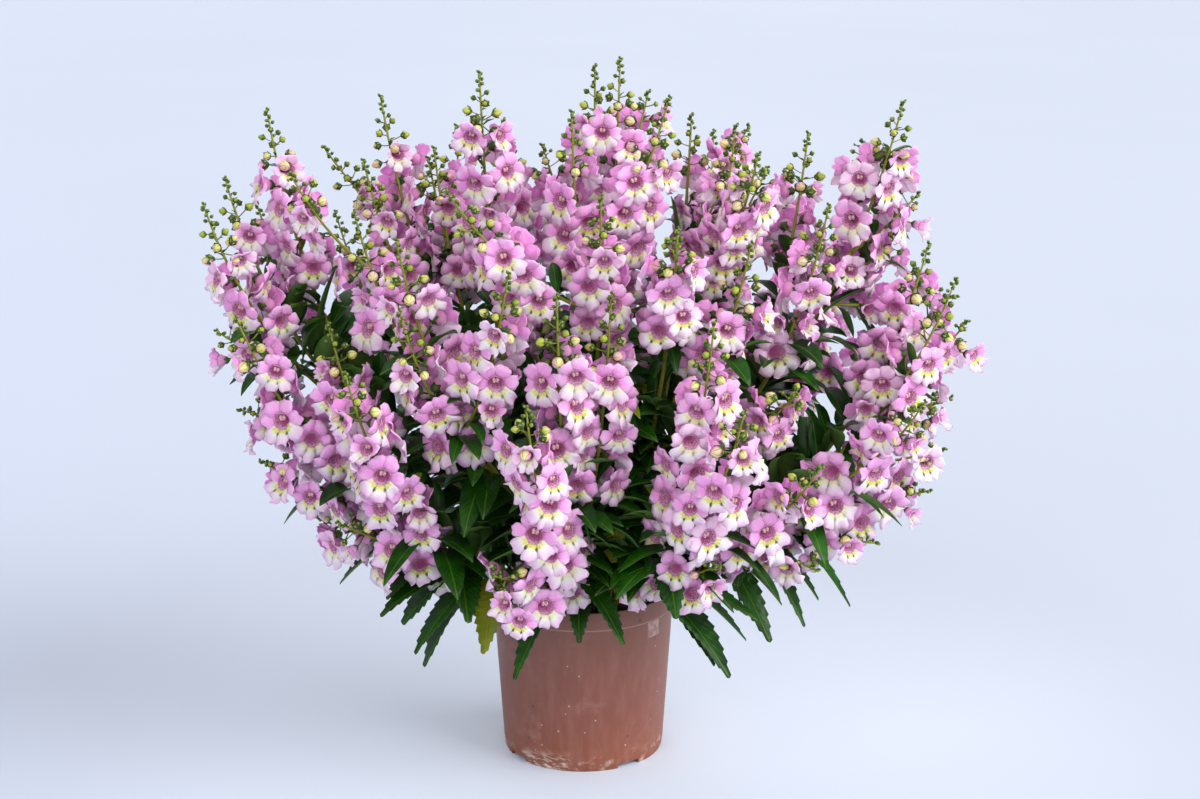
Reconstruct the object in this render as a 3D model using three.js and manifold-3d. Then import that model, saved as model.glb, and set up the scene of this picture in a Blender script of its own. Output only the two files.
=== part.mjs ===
// A potted angelonia: a thin plastic nursery pot filled with potting mix, and thirteen leafy
// stems that stand in it, fork, and end in racemes of five-lobed flowers with buds at their tips.
// Millimetres, +Z up. The origin is on the floor under the pot's axis; the front is towards -Y.
import * as THREE from "three";
import { mergeVertices } from "three/addons/utils/BufferGeometryUtils.js";
import Module from "manifold-3d";

const wasm = await Module();
wasm.setup();

// Pot
const POT_HEIGHT = 114;
const POT_RIM_RADIUS = 61.4;
const POT_BAND_HEIGHT = 12;
const POT_BAND_STEP = 0.9;
const POT_FOOT_RADIUS = 53.4;
const POT_WALL = 1.6;
const POT_FOOT_HEIGHT = 3.6;
const POT_FOOT_WIDTH = 2.6;
const POT_SIDES = 28;
const NOTCH_COUNT = 4;
const NOTCH_WIDTH = 17;
const NOTCH_ANGLE = -145;
const DRAIN_COUNT = 4;
const DRAIN_RADIUS = 4.5;
const DRAIN_CIRCLE = 30;

// Potting mix
const GAP = 0.3;
const SOIL_TOP = 104;
const SOIL_LUMP = 2.4;
const SOIL_SIDES = 16;
const ROOT_DEPTH = 32;
const HOLE_RADIUS = 3.7;

// Stems: half widths of their sections, how finely their bends are followed, and where a bend's
// control point lies between its two ends, as a share of the way across and of the way up.
const TRUNK_RADIUS = 2.7;
const BRANCH_RADIUS = 2;
const RACHIS_RADIUS = 1.6;
const RACHIS_TIP_RADIUS = 1.1;
const PATH_STEPS = 24;
const LONGEST_STEP = 46;
const SHORTEST_STEP = 0.6;
const SHOOT_FOOT = 2;
const FORK_SPACING = 9;
const FORK_END = 2;
const FOOT_ABOVE_MIX = 1.5;
const TRUNK_BEND = [0.1, 0.5];
const BRANCH_BEND = [0.72, 0.36];
const HEAD_SHARE = 0.82;

// Flowers
const BLOOM_RADIUS = 13.2;
const BLOOM_LOBES = 5;
const BLOOM_PITCH = 13.8;
const BLOOM_REACH = 12.5;
const NECK_RADIUS = 1.5;
const NECK_DEPTH = 5.5;
const THROAT_DEPTH = 2.6;
const BUD_ZONE = 24;
const BUD_COUNT = 1;
const BUD_PITCH = 2 * SHOOT_FOOT;
const BUD_RADIUS = 3.1;
const TIP_BUD_HEIGHT = 5;
const FOOT_CLEAR = 10;
const GOLDEN_ANGLE = 2.39996;

// A side raceme leaves a raceme just above its foot. These are the turns from the outward heading,
// the rises and the lengths that it may have, the share of it that carries no flowers, and the
// least number of its flowers and the room that these have on average.
const SIDE_ABOVE_FOOT = 7;
const SIDE_TURNS = [0, -0.65, 0.65, -1.3, 1.3];
const SIDE_RISES = [0.3, 0.7, 1.1];
const SIDE_LENGTHS = [96, 126];
const SIDE_BEND = [0.62, 0.3];
const SIDE_FOOT = 0.3;
const SIDE_CLEAR = 14;
const SIDE_BLOOMS = 4;
const SIDE_ROOM = 31;
// The bowl that side racemes stay in: half its width and depth, the height of its lower and
// upper face on the pot's axis, and how far these rise and fall to its edge.
const BUSH_WIDTH = 235;
const BUSH_DEPTH = 190;
const BUSH_LOW = 120;
const BUSH_LOW_RISE = 80;
const BUSH_TOP = 462;
const BUSH_TOP_FALL = 84;

// Leaves
const LEAF_LENGTH = 58;
const LEAF_WIDTH = 16;
const BRANCH_LEAF_LENGTH = 47.6;
const LEAF_RIB = 1.5;
const LEAF_ARCH = 0.22;
const HANGING_ARCH = 14;
const FORK_CLEAR = 12;
// Where a blade's edges are set, as shares of its length, and how wide it is there: the edge
// steps in after each tooth.
const LEAF_STATIONS = [[0.34, 1], [0.44, 0.74], [0.68, 0.78]];
// Where leaves leave a trunk and a branch, as shares of it, and their turn from its heading.
const TRUNK_LEAVES = [[0.3, 0.4], [0.48, 1.3], [0.7, -1.2]];
const BRANCH_LEAVES = [[0.42, -1.1], [0.76, 1.2]];

// Clearances, as radii of the balls that stand for each piece when the next is placed.
const BLOOM_BALL = 12.6;
const SISTER_BALL = 10.8;
const STEM_BALL = 2.6;
const LEAF_BALL = 5.2;
const RIM_BALL = 4.5;
const RIM_BALLS = 60;

// Starts of the repeatable draws.
const SOIL_SEED = 4111;
const RACEME_SEED = 1000;
const SIDE_SEED = 7000;
const STEM_SEED = 5553;

// Each spray: where it stands in the mix, where it forks, and its racemes. A raceme is the
// x, y, z of its tip and the length along its stem that carries buds and flowers.
const SPRAYS = [
  { name: "left_front", root: [-26, -20], fork: [-78, -64, 150], racemes: [
    [-138, -152, 300, 122], [-212, -82, 318, 138]] },
  { name: "inner_left_front", root: [-13, -29], fork: [-50, -62, 205], racemes: [
    [-107, -132, 333, 108], [-110, -112, 372, 84], [-140, -62, 380, 70]] },
  { name: "left", root: [-36, 2], fork: [-148, -2, 232], racemes: [
    [-236, -42, 381, 96], [-232, 18, 388, 84], [-206, 36, 430, 104], [-220, 72, 362, 74]] },
  { name: "centre_left", root: [-20, 8], fork: [-60, 14, 228], racemes: [
    [-134, 62, 436, 104], [-140, 2, 402, 80], [-98, 44, 404, 84], [-64, -22, 461, 124]] },
  { name: "front", root: [-1, -37], fork: [-8, -76, 150], racemes: [
    [-31, -190, 290, 150], [-14, -150, 346, 118], [18, -132, 343, 126]] },
  { name: "centre", root: [2, -5], fork: [8, -12, 228], racemes: [
    [-6, -62, 442, 112], [8, 62, 456, 76], [24, 0, 467, 144], [12, -102, 396, 84]] },
  { name: "right_front", root: [20, -33], fork: [46, -76, 150], racemes: [
    [78, -152, 331, 170], [94, -186, 286, 118], [142, -150, 243, 98]] },
  { name: "centre_right", root: [17, -13], fork: [50, -22, 222], racemes: [
    [72, 58, 424, 78], [98, 0, 425, 92], [102, -102, 368, 88], [58, -88, 374, 66]] },
  { name: "inner_right", root: [32, 2], fork: [104, -6, 232], racemes: [
    [148, 42, 414, 86], [152, -62, 384, 98], [204, 0, 440, 100]] },
  { name: "right", root: [36, -18], fork: [128, -46, 186], racemes: [
    [221, -18, 352, 88], [232, -62, 338, 104], [206, -122, 275, 104]] },
  { name: "back", root: [-6, 30], fork: [-14, 84, 196], racemes: [
    [-56, 188, 316, 126], [26, 192, 326, 132], [2, 142, 412, 104], [-54, 92, 416, 80]] },
  { name: "right_back", root: [22, 26], fork: [84, 84, 194], racemes: [
    [98, 180, 346, 116], [90, 122, 404, 96], [160, 150, 322, 118], [206, 92, 366, 106]] },
  { name: "left_back", root: [-28, 26], fork: [-82, 84, 194], racemes: [
    [-174, 130, 346, 118], [-118, 170, 328, 120], [-88, 120, 408, 96]] },
];

// Large leaves that hang over the rim: spray, share of its trunk, tip, width.
const HANGING_LEAVES = [
  ["left_front", 0.92, [-128, -88, 122], 17],
  ["left_front", 0.78, [-106, -92, 98], 18],
  ["left_front", 0.62, [-64, -76, 92], 15],
  ["front", 0.82, [-44, -98, 84], 19],
  ["front", 0.5, [-2, -88, 104], 14],
  ["front", 0.95, [26, -112, 112], 15],
  ["right_front", 0.85, [94, -92, 82], 21],
  ["right_front", 0.65, [58, -84, 112], 14],
  ["right", 0.62, [120, -86, 104], 17],
  ["right", 0.8, [142, -80, 112], 16],
];

const POT_COLOUR = 0xa8644c;
const SOIL_COLOUR = 0x2b211b;
const LEAF_COLOUR = 0x2f5a24;
const BLOOM_COLOUR = 0xd79bd0;

const group = new THREE.Group();

function addMesh(name, geometry, colour, roughness) {
  const material = new THREE.MeshStandardMaterial({ color: colour, roughness, metalness: 0 });
  const mesh = new THREE.Mesh(geometry, material);
  mesh.name = name;
  group.add(mesh);
}

const toVector = (list) => new THREE.Vector3(list[0], list[1], list[2]);
const headingOf = (angle) => new THREE.Vector3(Math.cos(angle), Math.sin(angle), 0);

// A repeatable draw between 0 and 1, started afresh for each stem.
function randomFrom(start) {
  let state = start;
  return () => {
    state = (state * 16807) % 2147483647;
    return state / 2147483647;
  };
}

// Joining and cutting
function bareCopy(geometry) {
  const bare = new THREE.BufferGeometry().setAttribute("position", geometry.getAttribute("position"));
  bare.setIndex(geometry.index);
  return bare;
}

function solidFrom(geometry) {
  const merged = mergeVertices(bareCopy(geometry), 1e-4);
  return new wasm.Manifold(new wasm.Mesh({
    numProp: 3,
    vertProperties: merged.getAttribute("position").array,
    triVerts: new Uint32Array(merged.index.array),
  }));
}

function geometryFrom(solid) {
  const { vertProperties, triVerts } = solid.getMesh();
  const geometry = new THREE.BufferGeometry();
  geometry.setAttribute("position", new THREE.BufferAttribute(vertProperties, 3));
  geometry.setIndex(new THREE.BufferAttribute(triVerts, 1));
  return geometry;
}

function fuse(solids) {
  return solids.reduce((sum, solid) => sum.add(solid));
}

// Lathe and cylinder geometries stand along Y; this stands them up along Z.
function turnedUp(geometry) {
  return geometry.rotateX(Math.PI / 2);
}

// A plant is one closed skin. It holds points, and faces as triples of point numbers that run
// anticlockwise seen from outside. A shoot takes the place of one face and grows out of it.
const newPlant = () => ({ points: [], faces: [] });

function addRing(plant, ring) {
  const first = plant.points.length;
  plant.points.push(...ring);
  return ring.map((_, i) => first + i);
}

// Skins the band between two rings. Rings alike are joined by four-sided walls, each split so
// that it bulges outwards; unlike rings are walked round at the same rate.
function wrap(plant, inner, outer) {
  const band = inner.length === outer.length
    ? wallsBetween(plant, inner, outer)
    : fansBetween(inner, outer);
  plant.faces.push(...band);
  return band;
}

function wallsBetween(plant, inner, outer) {
  return inner.flatMap((a, i) => {
    const next = (i + 1) % inner.length;
    const [b, c, d] = [inner[next], outer[next], outer[i]];
    const reach = plant.points[d].clone().sub(plant.points[a]);
    const bulges = reach.dot(normalOf(plant, [a, b, c])) <= 0;
    return bulges ? [[a, b, c], [a, c, d]] : [[a, b, d], [b, c, d]];
  });
}

function fansBetween(inner, outer) {
  const band = [];
  let i = 0;
  let j = 0;
  const outerSteps = outer.length === 1 ? 0 : outer.length;
  while (i < inner.length || j < outerSteps) {
    const ahead = (i + 0.5) / inner.length <= (j + 0.5) / outerSteps;
    if (j === outerSteps || (i < inner.length && ahead)) {
      band.push([inner[i % inner.length], inner[(i + 1) % inner.length], outer[j % outer.length]]);
      i += 1;
    } else {
      band.push([inner[i % inner.length], outer[(j + 1) % outer.length], outer[j]]);
      j += 1;
    }
  }
  return band;
}

function closeEnd(plant, ring) {
  const cap = [];
  for (let i = 1; i < ring.length - 1; i++) cap.push([ring[0], ring[i], ring[i + 1]]);
  plant.faces.push(...cap);
  return cap;
}

// Turns a ring's numbering so that it starts beside the first point of the ring before it.
function alignedRing(plant, before, ring) {
  const cost = (shift) => before.reduce((sum, p, i) => {
    const share = Math.round((i * ring.length) / before.length);
    const other = ring[(share + shift) % ring.length];
    return sum + plant.points[p].distanceTo(plant.points[other]);
  }, 0);
  let best = 0;
  for (let shift = 1; shift < ring.length; shift++) if (cost(shift) < cost(best)) best = shift;
  return ring.map((_, i) => ring[(i + best) % ring.length]);
}

function removeFace(plant, face) {
  plant.faces.splice(plant.faces.indexOf(face), 1);
}

function ringShoot(rings) {
  return (plant, face) => {
    removeFace(plant, face);
    let last = face;
    for (const points of rings) {
      const ring = alignedRing(plant, last, addRing(plant, points));
      wrap(plant, last, ring);
      last = ring;
    }
    closeEnd(plant, last);
  };
}

function normalOf(plant, face) {
  const [a, b, c] = face.map((p) => plant.points[p]);
  return b.clone().sub(a).cross(c.clone().sub(a)).normalize();
}

function faceToward(plant, faces, toward) {
  const score = (face) => normalOf(plant, face).dot(toward);
  return faces.reduce((best, face) => (score(face) > score(best) ? face : best));
}

function plantGeometry(plant) {
  const geometry = new THREE.BufferGeometry().setFromPoints(plant.points);
  geometry.setIndex(plant.faces.flat());
  return geometry;
}

// Paths: short straight steps along a bent curve, which may stand on a straight foot below.
function pathOf(start, middle, end, footDepth) {
  const points = new THREE.QuadraticBezierCurve3(start, middle, end).getPoints(PATH_STEPS);
  if (footDepth) points.unshift(start.clone().setZ(start.z - footDepth));
  const lengths = [0];
  for (let i = 1; i < points.length; i++) {
    lengths.push(lengths[i - 1] + points[i].distanceTo(points[i - 1]));
  }
  const plane = middle.clone().sub(start).cross(end.clone().sub(start)).normalize();
  return { points, lengths, length: lengths[lengths.length - 1], plane };
}

function pointAt(path, distance) {
  let i = 1;
  while (i < path.points.length - 1 && path.lengths[i] < distance) i += 1;
  const share = (distance - path.lengths[i - 1]) / (path.lengths[i] - path.lengths[i - 1]);
  return path.points[i - 1].clone().lerp(path.points[i], share);
}

function tangentAt(path, distance) {
  const before = Math.max(0, distance - 1);
  const after = Math.min(path.length, distance + 1);
  return pointAt(path, after).sub(pointAt(path, before)).normalize();
}

function stretchOf(path, from, to, count) {
  return Array.from({ length: count + 1 }, (_, i) => pointAt(path, from + ((to - from) * i) / count));
}

// The section of a stem: a regular ring across its path, anticlockwise seen from its tip.
function sectionOf(path, distance, radius, sides) {
  const side = tangentAt(path, distance).cross(path.plane);
  const centre = pointAt(path, distance);
  return Array.from({ length: sides }, (_, i) => {
    const turn = (2 * Math.PI * (i + 0.5)) / sides;
    return centre.clone()
      .addScaledVector(path.plane, radius * Math.cos(turn))
      .addScaledVector(side, radius * Math.sin(turn));
  });
}

// A closed stem along a path from a start to an end, with a ring at each bend that is named and
// a short step wherever a shoot leaves it. A shoot at the end takes the place of its end face.
function stemPlant({ path, start, end, radiusAt, sides, bends, shoots, endShoot }) {
  const marks = [...bends, end];
  for (const { at } of shoots) marks.push(at - SHOOT_FOOT, at + SHOOT_FOOT);
  marks.sort((a, b) => a - b);
  const stations = [];
  let reached = start;
  for (const mark of marks.filter((value) => value <= end)) {
    if (mark - reached < SHORTEST_STEP) continue;
    const parts = Math.ceil((mark - reached) / LONGEST_STEP);
    for (let i = 1; i <= parts; i++) stations.push(reached + ((mark - reached) * i) / parts);
    reached = mark;
  }
  const plant = newPlant();
  const bands = [];
  let last = addRing(plant, sectionOf(path, start, radiusAt(start), sides));
  closeEnd(plant, [...last].reverse());
  for (const station of stations) {
    const ring = addRing(plant, sectionOf(path, station, radiusAt(station), sides));
    const next = alignedRing(plant, last, ring);
    bands.push({ station, faces: wrap(plant, last, next) });
    last = next;
  }
  const cap = closeEnd(plant, last);
  if (endShoot) endShoot(plant, cap[0]);
  for (const { at, toward, grow } of shoots) {
    const band = bands.find(({ station }) => station > at);
    const whole = band.faces.filter((face) => plant.faces.includes(face));
    grow(plant, faceToward(plant, whole, toward));
  }
  return plant;
}

// What has been placed so far, as balls with an owner each.
const balls = [];

function isClear(points, radius, spared) {
  return !balls.some((ball) => ball.owner !== spared
    && points.some((p) => p.distanceTo(ball.centre) < radius + ball.radius));
}

function place(owner, points, radius) {
  points.forEach((centre) => balls.push({ owner, centre, radius }));
}

// Pot: a turned wall with a raised floor, feet with notches between them, and drain holes.
function makePot() {
  const v = (x, y) => new THREE.Vector2(x, y);
  const bandFoot = POT_HEIGHT - POT_BAND_HEIGHT;
  const wallTop = POT_RIM_RADIUS - POT_BAND_STEP;
  const floorTop = POT_FOOT_HEIGHT + POT_WALL;
  const profile = [
    v(0, POT_FOOT_HEIGHT),
    v(POT_FOOT_RADIUS - POT_FOOT_WIDTH, POT_FOOT_HEIGHT),
    v(POT_FOOT_RADIUS - POT_FOOT_WIDTH, 0),
    v(POT_FOOT_RADIUS - 0.6, 0),
    v(POT_FOOT_RADIUS, 1.2),
    v(wallTop - 0.2, bandFoot - 0.8),
    v(POT_RIM_RADIUS - 0.1, bandFoot),
    v(POT_RIM_RADIUS, POT_HEIGHT),
    v(POT_RIM_RADIUS - POT_WALL, POT_HEIGHT),
    v(wallTop - POT_WALL, bandFoot - 2),
    v(POT_FOOT_RADIUS - POT_WALL + 0.3, floorTop),
    v(0, floorTop),
  ];
  const wall = solidFrom(turnedUp(new THREE.LatheGeometry(profile, POT_SIDES)));
  const cuts = [];
  for (let i = 0; i < NOTCH_COUNT; i++) {
    const notch = new THREE.BoxGeometry(8, NOTCH_WIDTH, 2 * POT_FOOT_HEIGHT - 0.4);
    notch.translate(POT_FOOT_RADIUS - 1, 0, 0);
    notch.rotateZ(THREE.MathUtils.degToRad(NOTCH_ANGLE + (360 * i) / NOTCH_COUNT));
    cuts.push(solidFrom(notch));
  }
  for (let i = 0; i < DRAIN_COUNT; i++) {
    const hole = turnedUp(new THREE.CylinderGeometry(DRAIN_RADIUS, DRAIN_RADIUS, 4 * POT_WALL, 6));
    hole.translate(DRAIN_CIRCLE, 0, POT_FOOT_HEIGHT + POT_WALL / 2);
    hole.rotateZ((2 * Math.PI * i) / DRAIN_COUNT);
    cuts.push(solidFrom(hole));
  }
  addMesh("pot", geometryFrom(wall.subtract(fuse(cuts))), POT_COLOUR, 0.55);
}

// Potting mix: fills the pot to below its rim, with a lumpy top and a plain hole for each stem.
function makeSoil() {
  const floor = POT_FOOT_HEIGHT + POT_WALL + GAP;
  const slope = (POT_RIM_RADIUS - POT_BAND_STEP - POT_FOOT_RADIUS) / POT_HEIGHT;
  const wallAt = (z) => POT_FOOT_RADIUS + slope * z - POT_WALL - 0.9;
  const profile = [
    new THREE.Vector2(0, floor),
    new THREE.Vector2(wallAt(floor) - 0.3, floor),
    new THREE.Vector2(wallAt(SOIL_TOP) - 0.3, SOIL_TOP - 3),
    new THREE.Vector2(wallAt(SOIL_TOP) - 9, SOIL_TOP),
    new THREE.Vector2(wallAt(SOIL_TOP) * 0.45, SOIL_TOP),
    new THREE.Vector2(0, SOIL_TOP),
  ];
  const body = mergeVertices(bareCopy(turnedUp(new THREE.LatheGeometry(profile, SOIL_SIDES))), 1e-3);
  const random = randomFrom(SOIL_SEED);
  const corners = body.getAttribute("position");
  for (let i = 0; i < corners.count; i++) {
    if (corners.getZ(i) > SOIL_TOP - 1) corners.setZ(i, SOIL_TOP + SOIL_LUMP * (random() - 0.6));
  }
  const depth = 2 * ROOT_DEPTH;
  const holes = SPRAYS.map(({ root }) => {
    const hole = turnedUp(new THREE.CylinderGeometry(HOLE_RADIUS, HOLE_RADIUS, depth, 5));
    hole.translate(root[0], root[1], SOIL_TOP + depth / 2 - ROOT_DEPTH - GAP);
    return solidFrom(hole);
  });
  addMesh("potting_mix", geometryFrom(solidFrom(body).subtract(fuse(holes))), SOIL_COLOUR, 0.95);
}

// A flower, from its stalk outwards: a narrow neck, five lobes, and a sunken throat. It faces
// outwards and a little down, with its upper lobes up.
function bloomRings(centre, facing, size) {
  const side = new THREE.Vector3(0, 0, 1).cross(facing).normalize();
  const up = facing.clone().cross(side);
  const at = (angle, radius, forward) => centre.clone()
    .addScaledVector(side, -Math.sin(angle) * radius * size)
    .addScaledVector(up, Math.cos(angle) * radius * size)
    .addScaledVector(facing, forward * size);
  const neck = [0, 1, 2].map((i) => at((2 * Math.PI * i) / 3, NECK_RADIUS, -NECK_DEPTH));
  const rim = [];
  for (let i = 0; i < BLOOM_LOBES; i++) {
    const notch = (2 * Math.PI * i) / BLOOM_LOBES;
    rim.push(at(notch, BLOOM_RADIUS * 0.58, 0));
    rim.push(at(notch + Math.PI / BLOOM_LOBES, BLOOM_RADIUS, 0.4));
  }
  return [neck, rim, [at(0, 0, -THROAT_DEPTH)]];
}

function budRings(root, toward, radius) {
  const side = new THREE.Vector3(0, 0, 1).cross(toward).normalize();
  const up = toward.clone().cross(side);
  const middle = root.clone().addScaledVector(toward, radius * 1.5);
  const belt = [0, 1, 2].map((i) => {
    const turn = (2 * Math.PI * i) / 3;
    return middle.clone()
      .addScaledVector(side, -Math.sin(turn) * radius)
      .addScaledVector(up, Math.cos(turn) * radius);
  });
  return [belt, [root.clone().addScaledVector(toward, radius * 2.6)]];
}

// A leaf: a lance-shaped blade with teeth cut in both edges and a keel under its rib.
function leafCurve(base, tip, arch) {
  const middle = base.clone().lerp(tip, 0.5);
  middle.z += arch;
  return new THREE.QuadraticBezierCurve3(base, middle, tip);
}

function leafRings(base, tip, arch, width) {
  const rib = leafCurve(base, tip, arch);
  const across = new THREE.Vector3(0, 0, 1).cross(tip.clone().sub(base)).normalize();
  const rings = LEAF_STATIONS.map(([share, wide]) => {
    const centre = rib.getPoint(share);
    const up = rib.getTangent(share).cross(across).normalize();
    const edge = (turn) => centre.clone()
      .addScaledVector(across, (turn * wide * width) / 2)
      .addScaledVector(up, 0.12 * wide * width);
    return [edge(-1), centre.clone().addScaledVector(up, -LEAF_RIB), edge(1)];
  });
  return [...rings, [tip]];
}

function bendOf(start, end, [across, up]) {
  const middle = start.clone().lerp(end, across);
  middle.z = start.z + up * (end.z - start.z);
  return middle;
}

// The stems of every spray are laid first, so that flowers and leaves keep clear of all stems.
const sprays = SPRAYS.map((spray, number) => {
  const fork = toVector(spray.fork);
  const start = new THREE.Vector3(spray.root[0], spray.root[1], SOIL_TOP + FOOT_ABOVE_MIX);
  const trunk = pathOf(start, bendOf(start, fork, TRUNK_BEND), fork, ROOT_DEPTH + FOOT_ABOVE_MIX);
  const branches = spray.racemes.map((raceme, i) => {
    const leaves = trunk.length - FORK_END - FORK_SPACING * i;
    const origin = pointAt(trunk, leaves);
    const tip = toVector(raceme);
    tip.z -= TIP_BUD_HEIGHT;
    const path = pathOf(origin, bendOf(origin, tip, BRANCH_BEND), tip, 0);
    const foot = path.length - Math.min(raceme[3], HEAD_SHARE * path.length);
    return { path, foot };
  });
  return { ...spray, number, trunk, branches };
});

const flowersOf = (name, i) => name + "_flowers_" + (i + 1);

for (const { name, trunk, branches } of sprays) {
  place(name, stretchOf(trunk, ROOT_DEPTH + 6, trunk.length, 10), STEM_BALL);
  branches.forEach(({ path, foot }, i) => {
    place(name, stretchOf(path, 0, foot, 10), STEM_BALL);
    place(flowersOf(name, i), stretchOf(path, foot, path.length, 12), STEM_BALL);
  });
}
for (let i = 0; i < RIM_BALLS; i++) {
  const turn = (2 * Math.PI * i) / RIM_BALLS;
  place("pot", [headingOf(turn).multiplyScalar(POT_RIM_RADIUS).setZ(POT_HEIGHT - 3)], RIM_BALL);
}

// The direction across a path that comes nearest to a heading.
function acrossPath(path, at, heading) {
  const along = tangentAt(path, at);
  const flat = headingOf(heading);
  return flat.addScaledVector(along, -flat.dot(along)).normalize();
}

// The flowers of one raceme: a spiral down from its buds that leans to the plant's outside, with
// those left out that have no room. The stalks of two flowers in turn leave the rachis together.
function bloomsOf(owner, path, foot, seed) {
  const random = randomFrom(seed);
  const tip = path.points[PATH_STEPS];
  const outward = Math.atan2(tip.y, tip.x);
  const blooms = [];
  let number = 0;
  for (let at = path.length - BUD_ZONE; at > foot + GAP + FOOT_CLEAR; at -= BLOOM_PITCH) {
    const spin = GOLDEN_ANGLE * number + random() * 0.5;
    const heading = outward + spin - 0.4 * Math.sin(spin);
    const tilt = 0.16 + 0.2 * random();
    const size = Math.min(1, 0.84 + 0.05 * number) + 0.06 * (random() - 0.5);
    const base = at + (number % 2 ? 0.5 : -0.5) * BLOOM_PITCH;
    number += 1;
    const toward = acrossPath(path, at, heading);
    const facing = toward.clone().setZ(toward.z - tilt).normalize();
    const centre = pointAt(path, at).addScaledVector(toward, BLOOM_REACH * size);
    const crowded = blooms.some((other) => other.centre.distanceTo(centre) < 2 * SISTER_BALL * size);
    if (crowded || !isClear([centre], BLOOM_BALL * size, owner)) continue;
    blooms.push({ base, toward, facing, centre, size });
  }
  return blooms;
}

// The rachis of one raceme, with the buds at its tip and its flowers.
function racemeSolid({ path, start, blooms }) {
  const tip = path.points[path.points.length - 1];
  const outward = Math.atan2(tip.y, tip.x);
  const shoots = blooms.map(({ base, toward, facing, centre, size }) => (
    { at: base, toward, grow: ringShoot(bloomRings(centre, facing, size)) }));
  for (let i = 1; i <= BUD_COUNT; i++) {
    const at = path.length - BUD_PITCH * i;
    const toward = acrossPath(path, at, outward + GOLDEN_ANGLE * i);
    const rings = budRings(pointAt(path, at), toward, BUD_RADIUS);
    shoots.push({ at, toward, grow: ringShoot(rings) });
  }
  return solidFrom(plantGeometry(stemPlant({
    path,
    start,
    end: path.length,
    radiusAt: (s) => RACHIS_RADIUS
      + ((RACHIS_TIP_RADIUS - RACHIS_RADIUS) * (s - start)) / (path.length - start),
    sides: 3,
    bends: [],
    shoots,
    endShoot: ringShoot(budRings(tip, tangentAt(path, path.length), BUD_RADIUS * 0.7)),
  })));
}

function isInBowl({ x, y, z }) {
  const out = Math.hypot(x / BUSH_WIDTH, y / BUSH_DEPTH);
  return out < 1 && z > BUSH_LOW + BUSH_LOW_RISE * out && z < BUSH_TOP - BUSH_TOP_FALL * out ** 2.5;
}

function sidePath({ path, foot }, turn, rise, length) {
  const base = pointAt(path, foot + SIDE_ABOVE_FOOT);
  const heading = headingOf(Math.atan2(base.y, base.x) + turn);
  const tip = heading.multiplyScalar(length * Math.cos(rise)).setZ(length * Math.sin(rise)).add(base);
  return pathOf(base, bendOf(base, tip, SIDE_BEND), tip, 0);
}

// A raceme's side raceme: of the paths that keep clear, the one whose flowers have the most room.
function sideOf(raceme, seed) {
  const roomAt = (p) => Math.min(...balls.map((ball) => p.distanceTo(ball.centre)));
  let best = null;
  let mostRoom = 0;
  for (const turn of SIDE_TURNS) {
    for (const rise of SIDE_RISES) {
      for (const length of SIDE_LENGTHS) {
        const path = sidePath(raceme, turn, rise, length);
        const way = stretchOf(path, SIDE_CLEAR, path.length, 10);
        if (!way.every(isInBowl) || !isClear(way, STEM_BALL, null)) continue;
        const blooms = bloomsOf(null, path, SIDE_FOOT * path.length, seed);
        if (blooms.length < SIDE_BLOOMS || !blooms.every(({ centre }) => isInBowl(centre))) continue;
        const room = blooms.reduce((sum, { centre }) => sum + roomAt(centre), 0);
        if (room < SIDE_ROOM * blooms.length || room <= mostRoom) continue;
        best = { path, start: 0, blooms, way };
        mostRoom = room;
      }
    }
  }
  return best;
}

// A shoot for one leaf, or nothing where the leaf would meet another piece.
function leafShoot(path, at, tip, arch, width) {
  const base = pointAt(path, at);
  const rib = leafCurve(base, tip, arch);
  const points = [0.35, 0.5, 0.7, 0.9].map((share) => rib.getPoint(share));
  const radius = (LEAF_BALL * width) / LEAF_WIDTH;
  if (!isClear(points, radius, null)) return [];
  place("leaf", points, radius);
  return [{ at, toward: rib.getTangent(0), grow: ringShoot(leafRings(base, tip, arch, width)) }];
}

function ruledLeaf(path, at, heading, length, random) {
  const reach = headingOf(heading + random() - 0.5).multiplyScalar(length * 0.86);
  reach.z = length * (0.3 - 0.6 * random());
  const tip = pointAt(path, at).add(reach);
  return leafShoot(path, at, tip, length * LEAF_ARCH, LEAF_WIDTH * (length / LEAF_LENGTH));
}

// Adds shoots to a stem's list where they leave room for each other.
function addShoots(list, more) {
  for (const one of more) {
    if (list.every((other) => Math.abs(other.at - one.at) > 2.4 * SHOOT_FOOT)) list.push(one);
  }
}

function branchLeaves({ path, foot }, number, random) {
  const away = Math.atan2(path.points[PATH_STEPS].y, path.points[PATH_STEPS].x);
  const side = number % 2 ? -1 : 1;
  const list = [];
  for (const [share, turn] of BRANCH_LEAVES) {
    const at = share * foot;
    if (at < FORK_CLEAR) continue;
    addShoots(list, ruledLeaf(path, at, away + side * turn, BRANCH_LEAF_LENGTH, random));
  }
  return list;
}

function trunkLeaves(name, trunk, random) {
  const end = trunk.points[trunk.points.length - 1];
  const heading = Math.atan2(end.y, end.x);
  const above = trunk.length - ROOT_DEPTH;
  const list = [];
  HANGING_LEAVES.filter(([spray]) => spray === name).forEach(([, share, tip, width]) => {
    const at = ROOT_DEPTH + share * above - 6;
    addShoots(list, leafShoot(trunk, at, toVector(tip), HANGING_ARCH, width));
  });
  for (const [share, turn] of TRUNK_LEAVES) {
    const at = ROOT_DEPTH + share * above - 3;
    addShoots(list, ruledLeaf(trunk, at, heading + turn, LEAF_LENGTH, random));
  }
  return list;
}

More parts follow.
